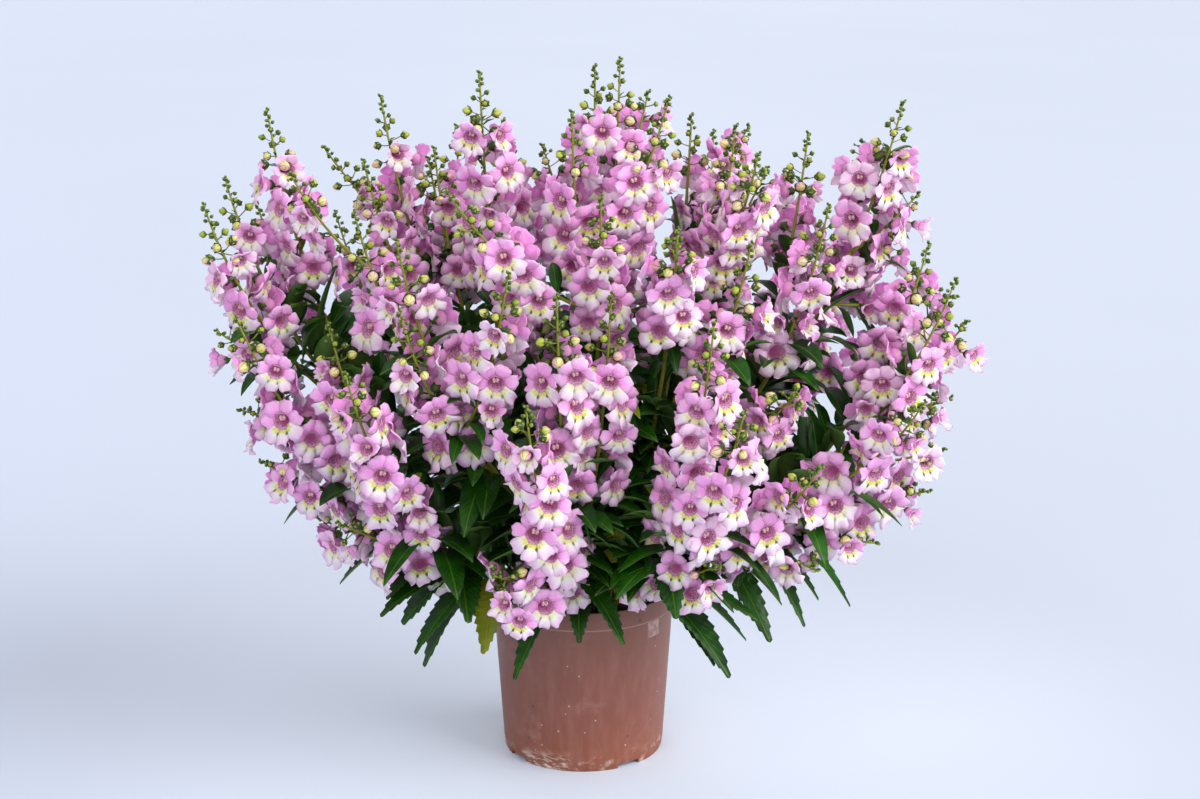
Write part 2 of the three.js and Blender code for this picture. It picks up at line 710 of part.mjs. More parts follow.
// One spray's green part: the trunk from its foot in the mix, a branch to each raceme, and the
// leaves of both. Each branch starts inside the trunk and is fused to it.
function makeStems({ name, number, trunk, branches }) {
  const random = randomFrom(STEM_SEED + 91 * number);
  const stems = [{
    path: trunk,
    start: 0,
    end: trunk.length,
    radiusAt: () => TRUNK_RADIUS,
    sides: 4,
    bends: [ROOT_DEPTH + FOOT_ABOVE_MIX],
    shoots: trunkLeaves(name, trunk, random),
  }];
  branches.forEach(({ path, foot }, i) => stems.push({
    path,
    start: 0,
    end: foot,
    radiusAt: () => BRANCH_RADIUS,
    sides: 3,
    bends: [],
    shoots: branchLeaves({ path, foot }, i, random),
  }));
  const solids = stems.map((stem) => solidFrom(plantGeometry(stemPlant(stem))));
  addMesh(name + "_stems", geometryFrom(fuse(solids)), LEAF_COLOUR, 0.5);
}

makePot();
makeSoil();

// Every raceme's own flowers are placed before the first side raceme, and leaves fill what is left.
const racemes = sprays.flatMap(({ name, number, branches }) => branches.map(({ path, foot }, i) => (
  { name: flowersOf(name, i), path, foot, start: foot + GAP, seed: 37 * number + i })));
for (const raceme of racemes) {
  raceme.blooms = bloomsOf(raceme.name, raceme.path, raceme.foot, RACEME_SEED + raceme.seed);
  place(raceme.name, raceme.blooms.map(({ centre }) => centre), BLOOM_BALL);
}
for (const raceme of racemes) {
  const side = sideOf(raceme, SIDE_SEED + raceme.seed);
  if (side) {
    place(raceme.name, side.way, STEM_BALL);
    place(raceme.name, side.blooms.map(({ centre }) => centre), BLOOM_BALL);
  }
  const heads = side ? [raceme, side] : [raceme];
  addMesh(raceme.name, geometryFrom(fuse(heads.map(racemeSolid))), BLOOM_COLOUR, 0.6);
}
sprays.forEach(makeStems);

export default group;
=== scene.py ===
import itertools
import math
import random

import bmesh
import bpy
import numpy as np
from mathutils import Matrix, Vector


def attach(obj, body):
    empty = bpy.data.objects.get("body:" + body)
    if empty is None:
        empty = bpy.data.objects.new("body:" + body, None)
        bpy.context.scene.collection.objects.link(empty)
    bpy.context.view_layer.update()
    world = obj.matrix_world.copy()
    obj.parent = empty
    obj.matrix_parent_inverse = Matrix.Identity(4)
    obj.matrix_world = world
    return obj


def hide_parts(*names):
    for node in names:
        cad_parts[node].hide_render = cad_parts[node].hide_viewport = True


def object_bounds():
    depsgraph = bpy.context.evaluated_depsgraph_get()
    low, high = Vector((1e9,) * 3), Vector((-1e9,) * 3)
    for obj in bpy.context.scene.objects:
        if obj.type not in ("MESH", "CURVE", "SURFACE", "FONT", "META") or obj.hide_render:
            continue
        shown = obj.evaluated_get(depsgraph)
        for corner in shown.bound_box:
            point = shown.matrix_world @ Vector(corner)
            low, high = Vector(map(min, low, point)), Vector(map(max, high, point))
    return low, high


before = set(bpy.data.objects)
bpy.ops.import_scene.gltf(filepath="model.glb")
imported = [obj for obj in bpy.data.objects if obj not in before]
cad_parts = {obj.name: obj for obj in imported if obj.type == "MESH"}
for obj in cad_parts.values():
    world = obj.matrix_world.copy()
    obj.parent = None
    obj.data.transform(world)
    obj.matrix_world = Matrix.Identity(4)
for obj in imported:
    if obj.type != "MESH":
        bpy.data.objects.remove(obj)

cad_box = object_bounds()
MM = 0.001

# Camera
CAMERA_PLACE = (11.3, -1446.0, 623.0)
CAMERA_PITCH = 75.22
CAMERA_LENS = 68.1
CAMERA_SENSOR = 36.0
CAMERA_CLIP = (0.05, 100.0)

# Floor, in metres
FLOOR_RADIUS = 30.0

# Pot and potting mix
POT_HEIGHT = 114.0
POT_RIM_RADIUS = 61.4
POT_BAND_HEIGHT = 12.0
POT_BAND_STEP = 0.9
POT_FOOT_RADIUS = 53.4
POT_WALL = 1.6
POT_FOOT_HEIGHT = 3.6
POT_FOOT_WIDTH = 2.6
POT_SIDES = 96
NOTCH_COUNT = 4
NOTCH_WIDTH = 17.0
NOTCH_ANGLE = -145.0
DRAIN_COUNT = 4
DRAIN_RADIUS = 4.5
DRAIN_CIRCLE = 30.0
SOIL_TOP = 104.0

# Stems
ROOT_DEPTH = 32.0
TRUNK_RADIUS = 2.3
BRANCH_RADIUS = 1.6
RACHIS_RADIUS = 1.25
RACHIS_TIP_RADIUS = 0.6
PATH_STEPS = 24
FORK_SPACING = 9.0
FORK_END = 2.0
FOOT_ABOVE_MIX = 1.5
TRUNK_BEND = (0.1, 0.5)
BRANCH_BEND = (0.72, 0.36)
HEAD_SHARE = 0.82
TIP_BUD_HEIGHT = 5.0

# Flowers of the solids, which the fine flowers take their places from
BLOOM_PITCH = 13.8
BLOOM_REACH = 12.5
BUD_ZONE = 24.0
FOOT_CLEAR = 10.0
GOLDEN_ANGLE = 2.39996
STEM_GAP = 0.3

# How they are turned and sized: the spread of their turns, how far they crowd to the outside,
# their least droop and its spread, the size of the top one, what each further one gains, and the
# spread of sizes
SPIN_SPREAD = 0.5
OUTWARD_CROWDING = 0.4
BLOOM_DROOP = (0.16, 0.2)
TOP_BLOOM_SIZE = 0.84
BLOOM_SIZE_STEP = 0.05
BLOOM_SIZE_SPREAD = 0.06

# Side racemes of the solids, which leave a raceme just above its foot: the turns from the outward
# heading, rises and lengths that one may have, the share of it that carries no flowers, and the
# least number of its flowers and the room that these have on average
SIDE_ABOVE_FOOT = 7.0
SIDE_TURNS = (0.0, -0.65, 0.65, -1.3, 1.3)
SIDE_RISES = (0.3, 0.7, 1.1)
SIDE_LENGTHS = (96.0, 126.0)
SIDE_BEND = (0.62, 0.3)
SIDE_FOOT = 0.3
SIDE_CLEAR = 14.0
SIDE_BLOOMS = 4
SIDE_ROOM = 31.0

# The bowl that side racemes stay in: half its width and depth, the height of its lower and
# upper face on the pot's axis, and how far these rise and fall to its edge
BUSH_WIDTH = 235.0
BUSH_DEPTH = 190.0
BUSH_LOW = 120.0
BUSH_LOW_RISE = 80.0
BUSH_TOP = 462.0
BUSH_TOP_FALL = 84.0

# Leaves of the solids
LEAF_LENGTH = 58.0
LEAF_WIDTH = 16.0
BRANCH_LEAF_LENGTH = 47.6
LEAF_ARCH = 0.22
HANGING_ARCH = 14.0
FORK_CLEAR = 12.0
TRUNK_LEAVES = ((0.3, 0.4), (0.48, 1.3), (0.7, -1.2))
BRANCH_LEAVES = ((0.42, -1.1), (0.76, 1.2))

# Radii of the balls that stand for each piece when the next is placed
BLOOM_BALL = 12.6
SISTER_BALL = 10.8
STEM_BALL = 2.6
LEAF_BALL = 5.2
RIM_BALL = 4.5
RIM_BALLS = 60
MOST_BALLS = 6000

RACEME_SEED = 1000
SIDE_SEED = 7000
STEM_SEED = 5553

# Fine flower, measured from the middle of its mouth
THROAT_WIDTH = 6.1
THROAT_HEIGHT = 4.8
THROAT_DEPTH = 7.4
PETAL_THICKNESS = 0.4

# Each spray: where it stands in the mix, where it forks, and its racemes. A raceme is the
# x, y, z of its tip and the length along its stem that carries buds and flowers.
SPRAYS = (
    ("left_front", (-26, -20), (-78, -64, 150), (
        (-138, -152, 300, 122), (-212, -82, 318, 138))),
    ("inner_left_front", (-13, -29), (-50, -62, 205), (
        (-107, -132, 333, 108), (-110, -112, 372, 84), (-140, -62, 380, 70))),
    ("left", (-36, 2), (-148, -2, 232), (
        (-236, -42, 381, 96), (-232, 18, 388, 84), (-206, 36, 430, 104), (-220, 72, 362, 74))),
    ("centre_left", (-20, 8), (-60, 14, 228), (
        (-134, 62, 436, 104), (-140, 2, 402, 80), (-98, 44, 404, 84), (-64, -22, 461, 124))),
    ("front", (-1, -37), (-8, -76, 150), (
        (-31, -190, 290, 150), (-14, -150, 346, 118), (18, -132, 343, 126))),
    ("centre", (2, -5), (8, -12, 228), (
        (-6, -62, 442, 112), (8, 62, 456, 76), (24, 0, 467, 144), (12, -102, 396, 84))),
    ("right_front", (20, -33), (46, -76, 150), (
        (78, -152, 331, 170), (94, -186, 286, 118), (142, -150, 243, 98))),
    ("centre_right", (17, -13), (50, -22, 222), (
        (72, 58, 424, 78), (98, 0, 425, 92), (102, -102, 368, 88), (58, -88, 374, 66))),
    ("inner_right", (32, 2), (104, -6, 232), (
        (148, 42, 414, 86), (152, -62, 384, 98), (204, 0, 440, 100))),
    ("right", (36, -18), (128, -46, 186), (
        (221, -18, 352, 88), (232, -62, 338, 104), (206, -122, 275, 104))),
    ("back", (-6, 30), (-14, 84, 196), (
        (-56, 188, 316, 126), (26, 192, 326, 132), (2, 142, 412, 104), (-54, 92, 416, 80))),
    ("right_back", (22, 26), (84, 84, 194), (
        (98, 180, 346, 116), (90, 122, 404, 96), (160, 150, 322, 118), (206, 92, 366, 106))),
    ("left_back", (-28, 26), (-82, 84, 194), (
        (-174, 130, 346, 118), (-118, 170, 328, 120), (-88, 120, 408, 96))),
)

# Large leaves that hang over the rim: spray, share of its trunk, tip, width.
HANGING_LEAVES = (
    ("left_front", 0.92, (-128, -88, 122), 17),
    ("left_front", 0.78, (-106, -92, 98), 18),
    ("left_front", 0.62, (-64, -76, 92), 15),
    ("front", 0.82, (-44, -98, 84), 19),
    ("front", 0.5, (-2, -88, 104), 14),
    ("front", 0.95, (26, -112, 112), 15),
    ("right_front", 0.85, (94, -92, 82), 21),
    ("right_front", 0.65, (58, -84, 112), 14),
    ("right", 0.62, (120, -86, 104), 17),
    ("right", 0.8, (142, -80, 112), 16),
)

UP = np.array((0.0, 0.0, 1.0))
WHOLE_TURN = 6.28


# Vectors
def unit(vector):
    return vector / np.linalg.norm(vector)


def heading_of(angle):
    return np.array((math.cos(angle), math.sin(angle), 0.0))


def smooth(value, low, high):
    share = np.clip((value - low) / (high - low), 0, 1)
    return share * share * (3 - 2 * share)


# A repeatable draw between 0 and 1, the same as the one that placed the solids.
def draws_from(start):
    state = start
    while True:
        state = (state * 16807) % 2147483647
        yield state / 2147483647


def any_turn(draw):
    return WHOLE_TURN * draw.random()


def varied(draw, least, spread):
    return least + spread * draw.random()


# Paths: the bent curves that stems follow
class Path:
    def __init__(self, start, middle, end, foot_depth=0.0):
        share = (np.arange(PATH_STEPS + 1) / PATH_STEPS)[:, None]
        points = (1 - share) ** 2 * start + 2 * (1 - share) * share * middle + share ** 2 * end
        if foot_depth:
            points = np.vstack((start - foot_depth * UP, points))
        self.points = points
        steps = np.linalg.norm(np.diff(points, axis=0), axis=1)
        self.lengths = np.concatenate(([0.0], np.cumsum(steps)))
        self.length = self.lengths[-1]
        self.plane = unit(np.cross(middle - start, end - start))

    def point(self, distance):
        last = len(self.points) - 1
        i = 1
        while i < last and self.lengths[i] < distance:
            i += 1
        share = (distance - self.lengths[i - 1]) / (self.lengths[i] - self.lengths[i - 1])
        return self.points[i - 1] + share * (self.points[i] - self.points[i - 1])

    def tangent(self, distance):
        before = max(0.0, distance - 1)
        after = min(self.length, distance + 1)
        return unit(self.point(after) - self.point(before))

    def stretch(self, start, end, count):
        return [self.point(start + (end - start) * i / count) for i in range(count + 1)]

    def across(self, distance, heading):
        """The direction across the path that comes nearest to a heading."""
        along = self.tangent(distance)
        flat = heading_of(heading)
        return unit(flat - flat.dot(along) * along)


def bend_of(start, end, bend):
    middle = start + bend[0] * (end - start)
    middle[2] = start[2] + bend[1] * (end[2] - start[2])
    return middle


def side_path(base, turn, rise, length):
    """A side stem from its base, turned from the way straight out, which rises by an angle."""
    away = heading_of(math.atan2(base[1], base[0]) + turn)
    tip = base + length * (math.cos(rise) * away + math.sin(rise) * UP)
    return Path(base, bend_of(base, tip, SIDE_BEND), tip)


# What has been placed so far, as balls with an owner each
class Balls:
    def __init__(self):
        self.centres = np.empty((MOST_BALLS, 3))
        self.radii = np.empty(MOST_BALLS)
        self.owners = np.empty(MOST_BALLS, int)
        self.names = {}
        self.count = 0

    def owner(self, name):
        return self.names.setdefault(name, len(self.names))

    def place(self, name, points, radius):
        for point in points:
            self.centres[self.count] = point
            self.radii[self.count] = radius
            self.owners[self.count] = self.owner(name)
            self.count += 1

    def clear(self, points, radius, spared=None):
        """True where balls at all points keep off those placed, but for one owner's."""
        n = self.count
        others = self.owners[:n] != (self.owner(spared) if spared else -1)
        gaps = np.linalg.norm(self.centres[None, :n] - np.array(points)[:, None], axis=2)
        return not np.any((gaps < radius + self.radii[:n]) & others)

    def room(self, point):
        return np.linalg.norm(self.centres[:self.count] - point, axis=1).min()


balls = Balls()


class Bloom:
    """One flower: where its mouth is, which way it looks and where its stalk leaves the rachis."""

    def __init__(self, centre, toward, facing, size, at, base):
        self.centre = centre
        self.toward = toward
        self.facing = facing
        self.size = size
        self.at = at
        self.base = base
        self.seen = True


class Raceme:
    """A flowering stem: its path, how far along it the flowers start, its flowers, and the side
    raceme that it may carry."""

    def __init__(self, node, path, foot):
        self.node = node
        self.path = path
        self.foot = foot
        self.outward = math.atan2(path.points[-1][1], path.points[-1][0])
        self.blooms = []
        self.side = None
        self.bud_zone = LOW_BUD_ZONE

    def find_blooms(self, owner, seed):
        """The flowers that the solids have, in a spiral that leans to the plant's outside."""
        draws = draws_from(seed)
        path = self.path
        at = path.length - BUD_ZONE
        number = 0
        while at > self.foot + STEM_GAP + FOOT_CLEAR:
            spin = GOLDEN_ANGLE * number + next(draws) * SPIN_SPREAD
            heading = self.outward + spin - OUTWARD_CROWDING * math.sin(spin)
            tilt = BLOOM_DROOP[0] + BLOOM_DROOP[1] * next(draws)
            size = min(1, TOP_BLOOM_SIZE + BLOOM_SIZE_STEP * number)
            size += BLOOM_SIZE_SPREAD * (next(draws) - 0.5)
            base = at + (0.5 if number % 2 else -0.5) * BLOOM_PITCH
            toward = path.across(at, heading)
            facing = unit(toward - tilt * UP)
            centre = path.point(at) + BLOOM_REACH * size * toward
            sisters = [np.linalg.norm(b.centre - centre) for b in self.blooms]
            crowded = any(gap < 2 * SISTER_BALL * size for gap in sisters)
            if not crowded and balls.clear([centre], BLOOM_BALL * size, owner):
                self.blooms.append(Bloom(centre, toward, facing, size, at, base))
            number += 1
            at -= BLOOM_PITCH

    def place_blooms(self, node):
        balls.place(node, [b.centre for b in self.blooms], BLOOM_BALL)

    def side_at(self, turn, rise, length):
        path = side_path(self.path.point(self.foot + SIDE_ABOVE_FOOT), turn, rise, length)
        return Raceme(self.node + "_side", path, SIDE_FOOT * path.length)

    def grow_side(self, seed):
        """Of the side racemes that keep clear, takes the one whose flowers have the most room."""
        most_room = 0
        for turn, rise, length in itertools.product(SIDE_TURNS, SIDE_RISES, SIDE_LENGTHS):
            side = self.side_at(turn, rise, length)
            way = np.array(side.path.stretch(SIDE_CLEAR, side.path.length, 10))
            if not in_bowl(way) or not balls.clear(way, STEM_BALL):
                continue
            side.find_blooms(None, seed)
            centres = np.array([b.centre for b in side.blooms])
            if len(centres) < SIDE_BLOOMS or not in_bowl(centres):
                continue
            room = sum(balls.room(centre) for centre in centres)
            if room >= SIDE_ROOM * len(centres) and room > most_room:
                self.side, most_room = side, room
        if self.side:
            path = self.side.path
            balls.place(self.node, path.stretch(SIDE_CLEAR, path.length, 10), STEM_BALL)
            self.side.place_blooms(self.node)


def in_bowl(points):
    """True where all points lie between the under side and the top of the bush."""
    out = np.hypot(points[:, 0] / BUSH_WIDTH, points[:, 1] / BUSH_DEPTH)
    low = BUSH_LOW + BUSH_LOW_RISE * out
    high = BUSH_TOP - BUSH_TOP_FALL * out ** 2.5
    return bool(np.all((out < 1) & (points[:, 2] > low) & (points[:, 2] < high)))


class Leaf:
    """One leaf: where its rib starts and ends, how high it arches, its width and its age."""

    def __init__(self, base, tip, arch, width):
        self.base = np.array(base, float)
        self.tip = np.array(tip, float)
        self.arch = arch
        self.width = width
        self.yellow = 0.0
        self.seen = True

    def rib(self, share):
        middle = (self.base + self.tip) / 2 + self.arch * UP
        share = np.atleast_1d(share)[:, None]
        return (1 - share) ** 2 * self.base + 2 * (1 - share) * share * middle + share ** 2 * self.tip


class Spray:
    """A leafy stem with its racemes, and what is added to them."""

    def __init__(self, number, name, root, fork, racemes):
        self.number = number
        self.name = name
        fork = np.array(fork, float)
        start = np.array((root[0], root[1], SOIL_TOP + FOOT_ABOVE_MIX), float)
        self.trunk = Path(start, bend_of(start, fork, TRUNK_BEND), fork, ROOT_DEPTH + FOOT_ABOVE_MIX)
        self.racemes = [self.branch(i, tip) for i, tip in enumerate(racemes)]
        self.fillers = []
        self.leaves = []

    def branch(self, index, tip):
        origin = self.trunk.point(self.trunk.length - FORK_END - FORK_SPACING * index)
        end = np.array(tip[:3], float) - TIP_BUD_HEIGHT * UP
        path = Path(origin, bend_of(origin, end, BRANCH_BEND), end)
        foot = path.length - min(tip[3], HEAD_SHARE * path.length)
        return Raceme(f"{self.name}_flowers_{index + 1}", path, foot)

    def try_leaf(self, path, at, tip, arch, width):
        """A leaf from a place on a stem, if it keeps clear of what is placed."""
        leaf = Leaf(path.point(at), tip, arch, width)
        points = leaf.rib(np.array((0.35, 0.5, 0.7, 0.9)))
        radius = LEAF_BALL * width / LEAF_WIDTH
        if not balls.clear(points, radius):
            return None
        balls.place("leaf", points, radius)
        return leaf

    def ruled_leaf(self, path, at, heading, length, draws):
        reach = heading_of(heading + next(draws) - 0.5) * length * 0.86
        reach[2] = length * (0.3 - 0.6 * next(draws))
        width = LEAF_WIDTH * length / LEAF_LENGTH
        return self.try_leaf(path, at, path.point(at) + reach, length * LEAF_ARCH, width)

    def place_leaves(self):
        """The leaves that the solids have."""
        draws = draws_from(STEM_SEED + 91 * self.number)
        trunk = self.trunk
        above = trunk.length - ROOT_DEPTH
        heading = math.atan2(trunk.points[-1][1], trunk.points[-1][0])
        found = []
        for name, share, tip, width in HANGING_LEAVES:
            if name == self.name:
                at = ROOT_DEPTH + share * above - 6
                found.append(self.try_leaf(trunk, at, tip, HANGING_ARCH, width))
        for share, turn in TRUNK_LEAVES:
            at = ROOT_DEPTH + share * above - 3
            found.append(self.ruled_leaf(trunk, at, heading + turn, LEAF_LENGTH, draws))
        for index, raceme in enumerate(self.racemes):
            away = raceme.outward
            side = -1 if index % 2 else 1
            for share, turn in BRANCH_LEAVES:
                at = share * raceme.foot
                if at >= FORK_CLEAR:
                    found.append(self.ruled_leaf(
                        raceme.path, at, away + side * turn, BRANCH_LEAF_LENGTH, draws))
        self.leaves = [leaf for leaf in found if leaf]


def lay_out():
    """The stems, flowers and leaves that the solids have, in the order they were placed."""
    sprays = [Spray(i, *entry) for i, entry in enumerate(SPRAYS)]
    for spray in sprays:
        trunk = spray.trunk
        balls.place(spray.name, trunk.stretch(ROOT_DEPTH + 6, trunk.length, 10), STEM_BALL)
        for raceme in spray.racemes:
            path = raceme.path
            balls.place(spray.name, path.stretch(0, raceme.foot, 10), STEM_BALL)
            balls.place(raceme.node, path.stretch(raceme.foot, path.length, 12), STEM_BALL)
    for i in range(RIM_BALLS):
        rim = POT_RIM_RADIUS * heading_of(2 * math.pi * i / RIM_BALLS)
        balls.place("pot", [rim + (POT_HEIGHT - 3) * UP], RIM_BALL)
    for spray in sprays:
        for index, raceme in enumerate(spray.racemes):
            raceme.find_blooms(raceme.node, RACEME_SEED + 37 * spray.number + index)
            raceme.place_blooms(raceme.node)
    for spray in sprays:
        for index, raceme in enumerate(spray.racemes):
            raceme.grow_side(SIDE_SEED + 37 * spray.number + index)
    for spray in sprays:
        spray.place_leaves()
    return sprays


# Buds only, down to this far below a raceme's tip: the high racemes end in long green spikes
LOW_BUD_ZONE = 24.0
HIGH_BUD_ZONE = (31.0, 43.0)
HIGH_TIP = 325.0


def clear_spike(raceme):
    """Gives a high raceme a longer spike of buds, in place of its uppermost flower."""
    draw = random.Random(f"spike {raceme.node}")
    if raceme.path.points[-1][2] > HIGH_TIP:
        least, most = HIGH_BUD_ZONE
        raceme.bud_zone = least + (most - least) * draw.random()
    length = raceme.path.length
    raceme.blooms = [b for b in raceme.blooms if length - b.at > raceme.bud_zone - 4]


# Further flowers, between those of the solids: their pitch along the rachis and how near they come
# to its foot and to another flower's stalk, the least gap between two flowers, how far they stand
# off the rachis and the turns that they try, with the spread of both, the room that a turn has to
# gain, their least size and droop with their spreads, and how far below them a stalk starts
EXTRA_PITCH = 6.2
EXTRA_FOOT = -9.0
EXTRA_FOOT_SHARE = 0.12
EXTRA_STALK_GAP = 3.0
EXTRA_GAP = 18.0
EXTRA_REACH = (10.5, 17.0)
EXTRA_REACH_SPREAD = 1.5
EXTRA_TURNS = (0.0, 0.75, -0.75, 1.5, -1.5, 2.3, -2.3, 3.1)
EXTRA_TURN_SPREAD = 0.3
EXTRA_TURN_COST = 1.1
EXTRA_SIZE = (0.8, 0.24)
EXTRA_DROOP = (0.1, 0.25)
EXTRA_STALK_DROP = 5.0

# A gap between two high sprays that further flowers stay out of: its middle and half its size,
# across and up
GAP_MIDDLE = (-151.0, 372.0)
GAP_SIZE = (18.0, 44.0)


def in_gap(centre):
    off_x = abs(centre[0] - GAP_MIDDLE[0])
    off_z = abs(centre[2] - GAP_MIDDLE[1])
    return off_x < GAP_SIZE[0] and off_z < GAP_SIZE[1]


def add_blooms(raceme, centres):
    """Fills a raceme with flowers wherever one has room."""
    draw = random.Random(f"blooms {raceme.node}")
    taken = [b.at for b in raceme.blooms]
    at = raceme.path.length - raceme.bud_zone
    while at > max(raceme.foot + EXTRA_FOOT, EXTRA_FOOT_SHARE * raceme.path.length):
        if not any(abs(at - other) < EXTRA_STALK_GAP for other in taken):
            bloom = best_bloom(raceme, at, centres, draw)
            if bloom:
                raceme.blooms.append(bloom)
                centres.append(bloom.centre)
                taken.append(at)
        at -= EXTRA_PITCH


# Short racemes lower on the branches, which fill what gaps are left
FILLER_COUNT = 12
FILLER_SHARES = (0.2, 0.35, 0.5, 0.65, 0.8, 0.95)
FILLER_TURNS = (-1.2, -0.6, 0.0, 0.6, 1.2)
FILLER_RISES = (0.35, 0.8, 1.15)
FILLER_LENGTHS = (80.0, 112.0)
FILLER_FOOT = 0.34
FILLER_ROOM = 19.0
FILLER_LEAST = 4
FILLER_INSET = 0.9
FILLER_REACH = 7.0


def possible_fillers(sprays):
    """Every side shoot that stays inside the bush: its spray, its path and points of its head."""
    shoots = []
    choices = list(itertools.product(FILLER_SHARES, FILLER_TURNS, FILLER_RISES, FILLER_LENGTHS))
    for spray in sprays:
        for raceme in spray.racemes:
            for share, turn, rise, length in choices:
                path = side_path(raceme.path.point(share * raceme.foot), turn, rise, length)
                head = np.array(path.stretch(FILLER_FOOT * path.length, path.length, 8))
                if in_bowl(head / (FILLER_INSET, FILLER_INSET, 1)):
                    shoots.append((spray, path, head))
    return shoots


def add_fillers(sprays, centres):
    """Takes, one by one, the side shoot on which most flowers find room."""
    shoots = possible_fillers(sprays)
    sites = np.array([head for _, _, head in shoots])
    outward = sites * np.array((1, 1, 0))
    outward /= np.linalg.norm(outward, axis=2)[:, :, None]
    sites = sites + FILLER_REACH * outward
    room = np.full(sites.shape[:2], 1e9)
    for centre in centres:
        room = np.minimum(room, np.linalg.norm(sites - centre, axis=2))
    for number in range(FILLER_COUNT):
        free = (room > FILLER_ROOM).sum(axis=1)
        best = int(np.argmax(free + 0.02 * np.clip(room, 0, 60).mean(axis=1)))
        if free[best] < FILLER_LEAST:
            break
        spray, path, _ = shoots[best]
        raceme = Raceme(f"{spray.name}_filler_{number}", path, FILLER_FOOT * path.length)
        before = len(centres)
        add_blooms(raceme, centres)
        spray.fillers.append(raceme)
        for centre in centres[before:]:
            room = np.minimum(room, np.linalg.norm(sites - centre, axis=2))
        room[best] = 0


# Short shoots at the edge of the bush and over the pot: spray, stem that they leave, which is the
# trunk or the raceme of that number, how far up it, and tip
TRUNK = 0
SHOOTS = (
    ("front", TRUNK, 0.55, (-52, -142, 168)),
    ("front", TRUNK, 0.5, (-50, -132, 152)),
    ("left_front", TRUNK, 0.9, (-150, -96, 186)),
    ("left_front", 2, 0.35, (-203, -55, 214)),
    ("left_front", TRUNK, 0.97, (-172, -50, 176)),
    ("left", 1, 0.3, (-230, -42, 296)),
    ("left", TRUNK, 0.93, (-222, -16, 238)),
    ("centre_left", 3, 0.5, (-102, 46, 392)),
    ("centre", 2, 0.4, (-26, 38, 402)),
    ("centre", 3, 0.6, (42, 14, 440)),
    ("centre_right", 1, 0.6, (108, 44, 414)),
    ("inner_right", 3, 0.8, (210, 2, 404)),
    ("inner_right", 3, 0.45, (240, -8, 312)),
    ("centre_right", 1, 0.5, (100, 36, 402)),
    ("centre_right", 2, 0.6, (120, 30, 388)),
    ("inner_right", 3, 0.6, (217, 16, 374)),
    ("inner_right", 3, 0.5, (206, 12, 350)),
    ("inner_right", 3, 0.75, (181, 14, 408)),
    ("right", 2, 0.5, (244, -34, 300)),
    ("right", 1, 0.35, (238, -16, 246)),
    ("right", 2, 0.25, (230, -46, 220)),
    ("right", TRUNK, 0.93, (220, -58, 196)),
    ("right", TRUNK, 0.82, (186, -72, 166)),
    ("right", TRUNK, 0.7, (146, -100, 158)),
    ("right_front", TRUNK, 0.6, (82, -136, 172)),
)
SHOOT_FOOT = 0.3
SHOOT_ARCH = 6.0
SHOOT_BUD_ZONE = 12.0


def add_shoots(sprays, centres):
    """Grows the short shoots, each with what flowers find room on it."""
    for spray in sprays:
        for name, stem, share, tip in SHOOTS:
            if name != spray.name:
                continue
            if stem == TRUNK:
                path, start = spray.trunk, ROOT_DEPTH
            else:
                path, start = spray.racemes[stem - 1].path, 0.0
            base = path.point(start + share * (path.length - start))
            end = np.array(tip, float)
            path = Path(base, (base + end) / 2 - SHOOT_ARCH * UP, end)
            raceme = Raceme(f"{name}_shoot_{tip[0]}", path, SHOOT_FOOT * path.length)
            raceme.bud_zone = SHOOT_BUD_ZONE
            add_blooms(raceme, centres)
            spray.fillers.append(raceme)


def best_bloom(raceme, at, centres, draw):
    """A flower at a place on the rachis, turned to where it has most room."""
    path = raceme.path
    size = varied(draw, *EXTRA_SIZE)
    reach = EXTRA_REACH[0] + (EXTRA_REACH[1] - EXTRA_REACH[0]) * draw.random() ** 1.6
    best = None
    for turn in EXTRA_TURNS:
        heading = raceme.outward + turn + EXTRA_TURN_SPREAD * (draw.random() - 0.5)
        toward = path.across(at, heading)
        centre = path.point(at) + varied(draw, reach, EXTRA_REACH_SPREAD) * toward
        room = np.linalg.norm(np.array(centres) - centre, axis=1).min()
        score = room - EXTRA_TURN_COST * abs(turn)
        if room > EXTRA_GAP and not in_gap(centre) and (best is None or score > best[0]):
            best = (score, centre, toward)
    if not best:
        return None
    _, centre, toward = best
    facing = unit(toward - varied(draw, *EXTRA_DROOP) * UP)
    return Bloom(centre, toward, facing, size, at, at - EXTRA_STALK_DROP)


# How strongly flowers turn from straight off their rachis to the plant's outside, how far the
# middle of the plant takes the front for its outside, and how unevenly they do so
OUTWARD_PULL = 1.15
FRONT_LEAN = 70.0
FACING_SPREAD = 0.8
FACING_DROOP = (-0.22, 0.42)


def turn_outward(bloom, draw):
    """Turns a flower part of the way to the plant's outside, with a droop."""
    outward = bloom.centre * np.array((1.0, 1.0, 0.0))
    outward[1] -= FRONT_LEAN * (1 - smooth(bloom.centre[1], -20, 60))
    outward = unit(outward)
    agree = 0.5 + 0.5 * outward.dot(bloom.toward)
    facing = unit(bloom.toward + OUTWARD_PULL * agree * outward)
    facing = facing + FACING_SPREAD * (draw.random() - 0.5) * np.cross(UP, facing)
    least, most = FACING_DROOP
    facing[2] = -(least + (most - least) * draw.random())
    bloom.facing = unit(facing)


# The directions that a piece may be seen from, round the plant at three heights, how near and how
# far in front a flower is that hides it, how squarely a flower has to face a view, and from how
# many views a flower and a leaf are seen when they count as open to view
VIEW_TURNS = 16
VIEW_HEIGHTS = (-0.1, 0.3, 0.8)
BLOCKING_RADIUS = 9.5
BLOCKING_AHEAD = 5.0
LEAST_FACING = 0.3
OPEN_VIEWS = 13
LEAF_OPEN_VIEWS = 29


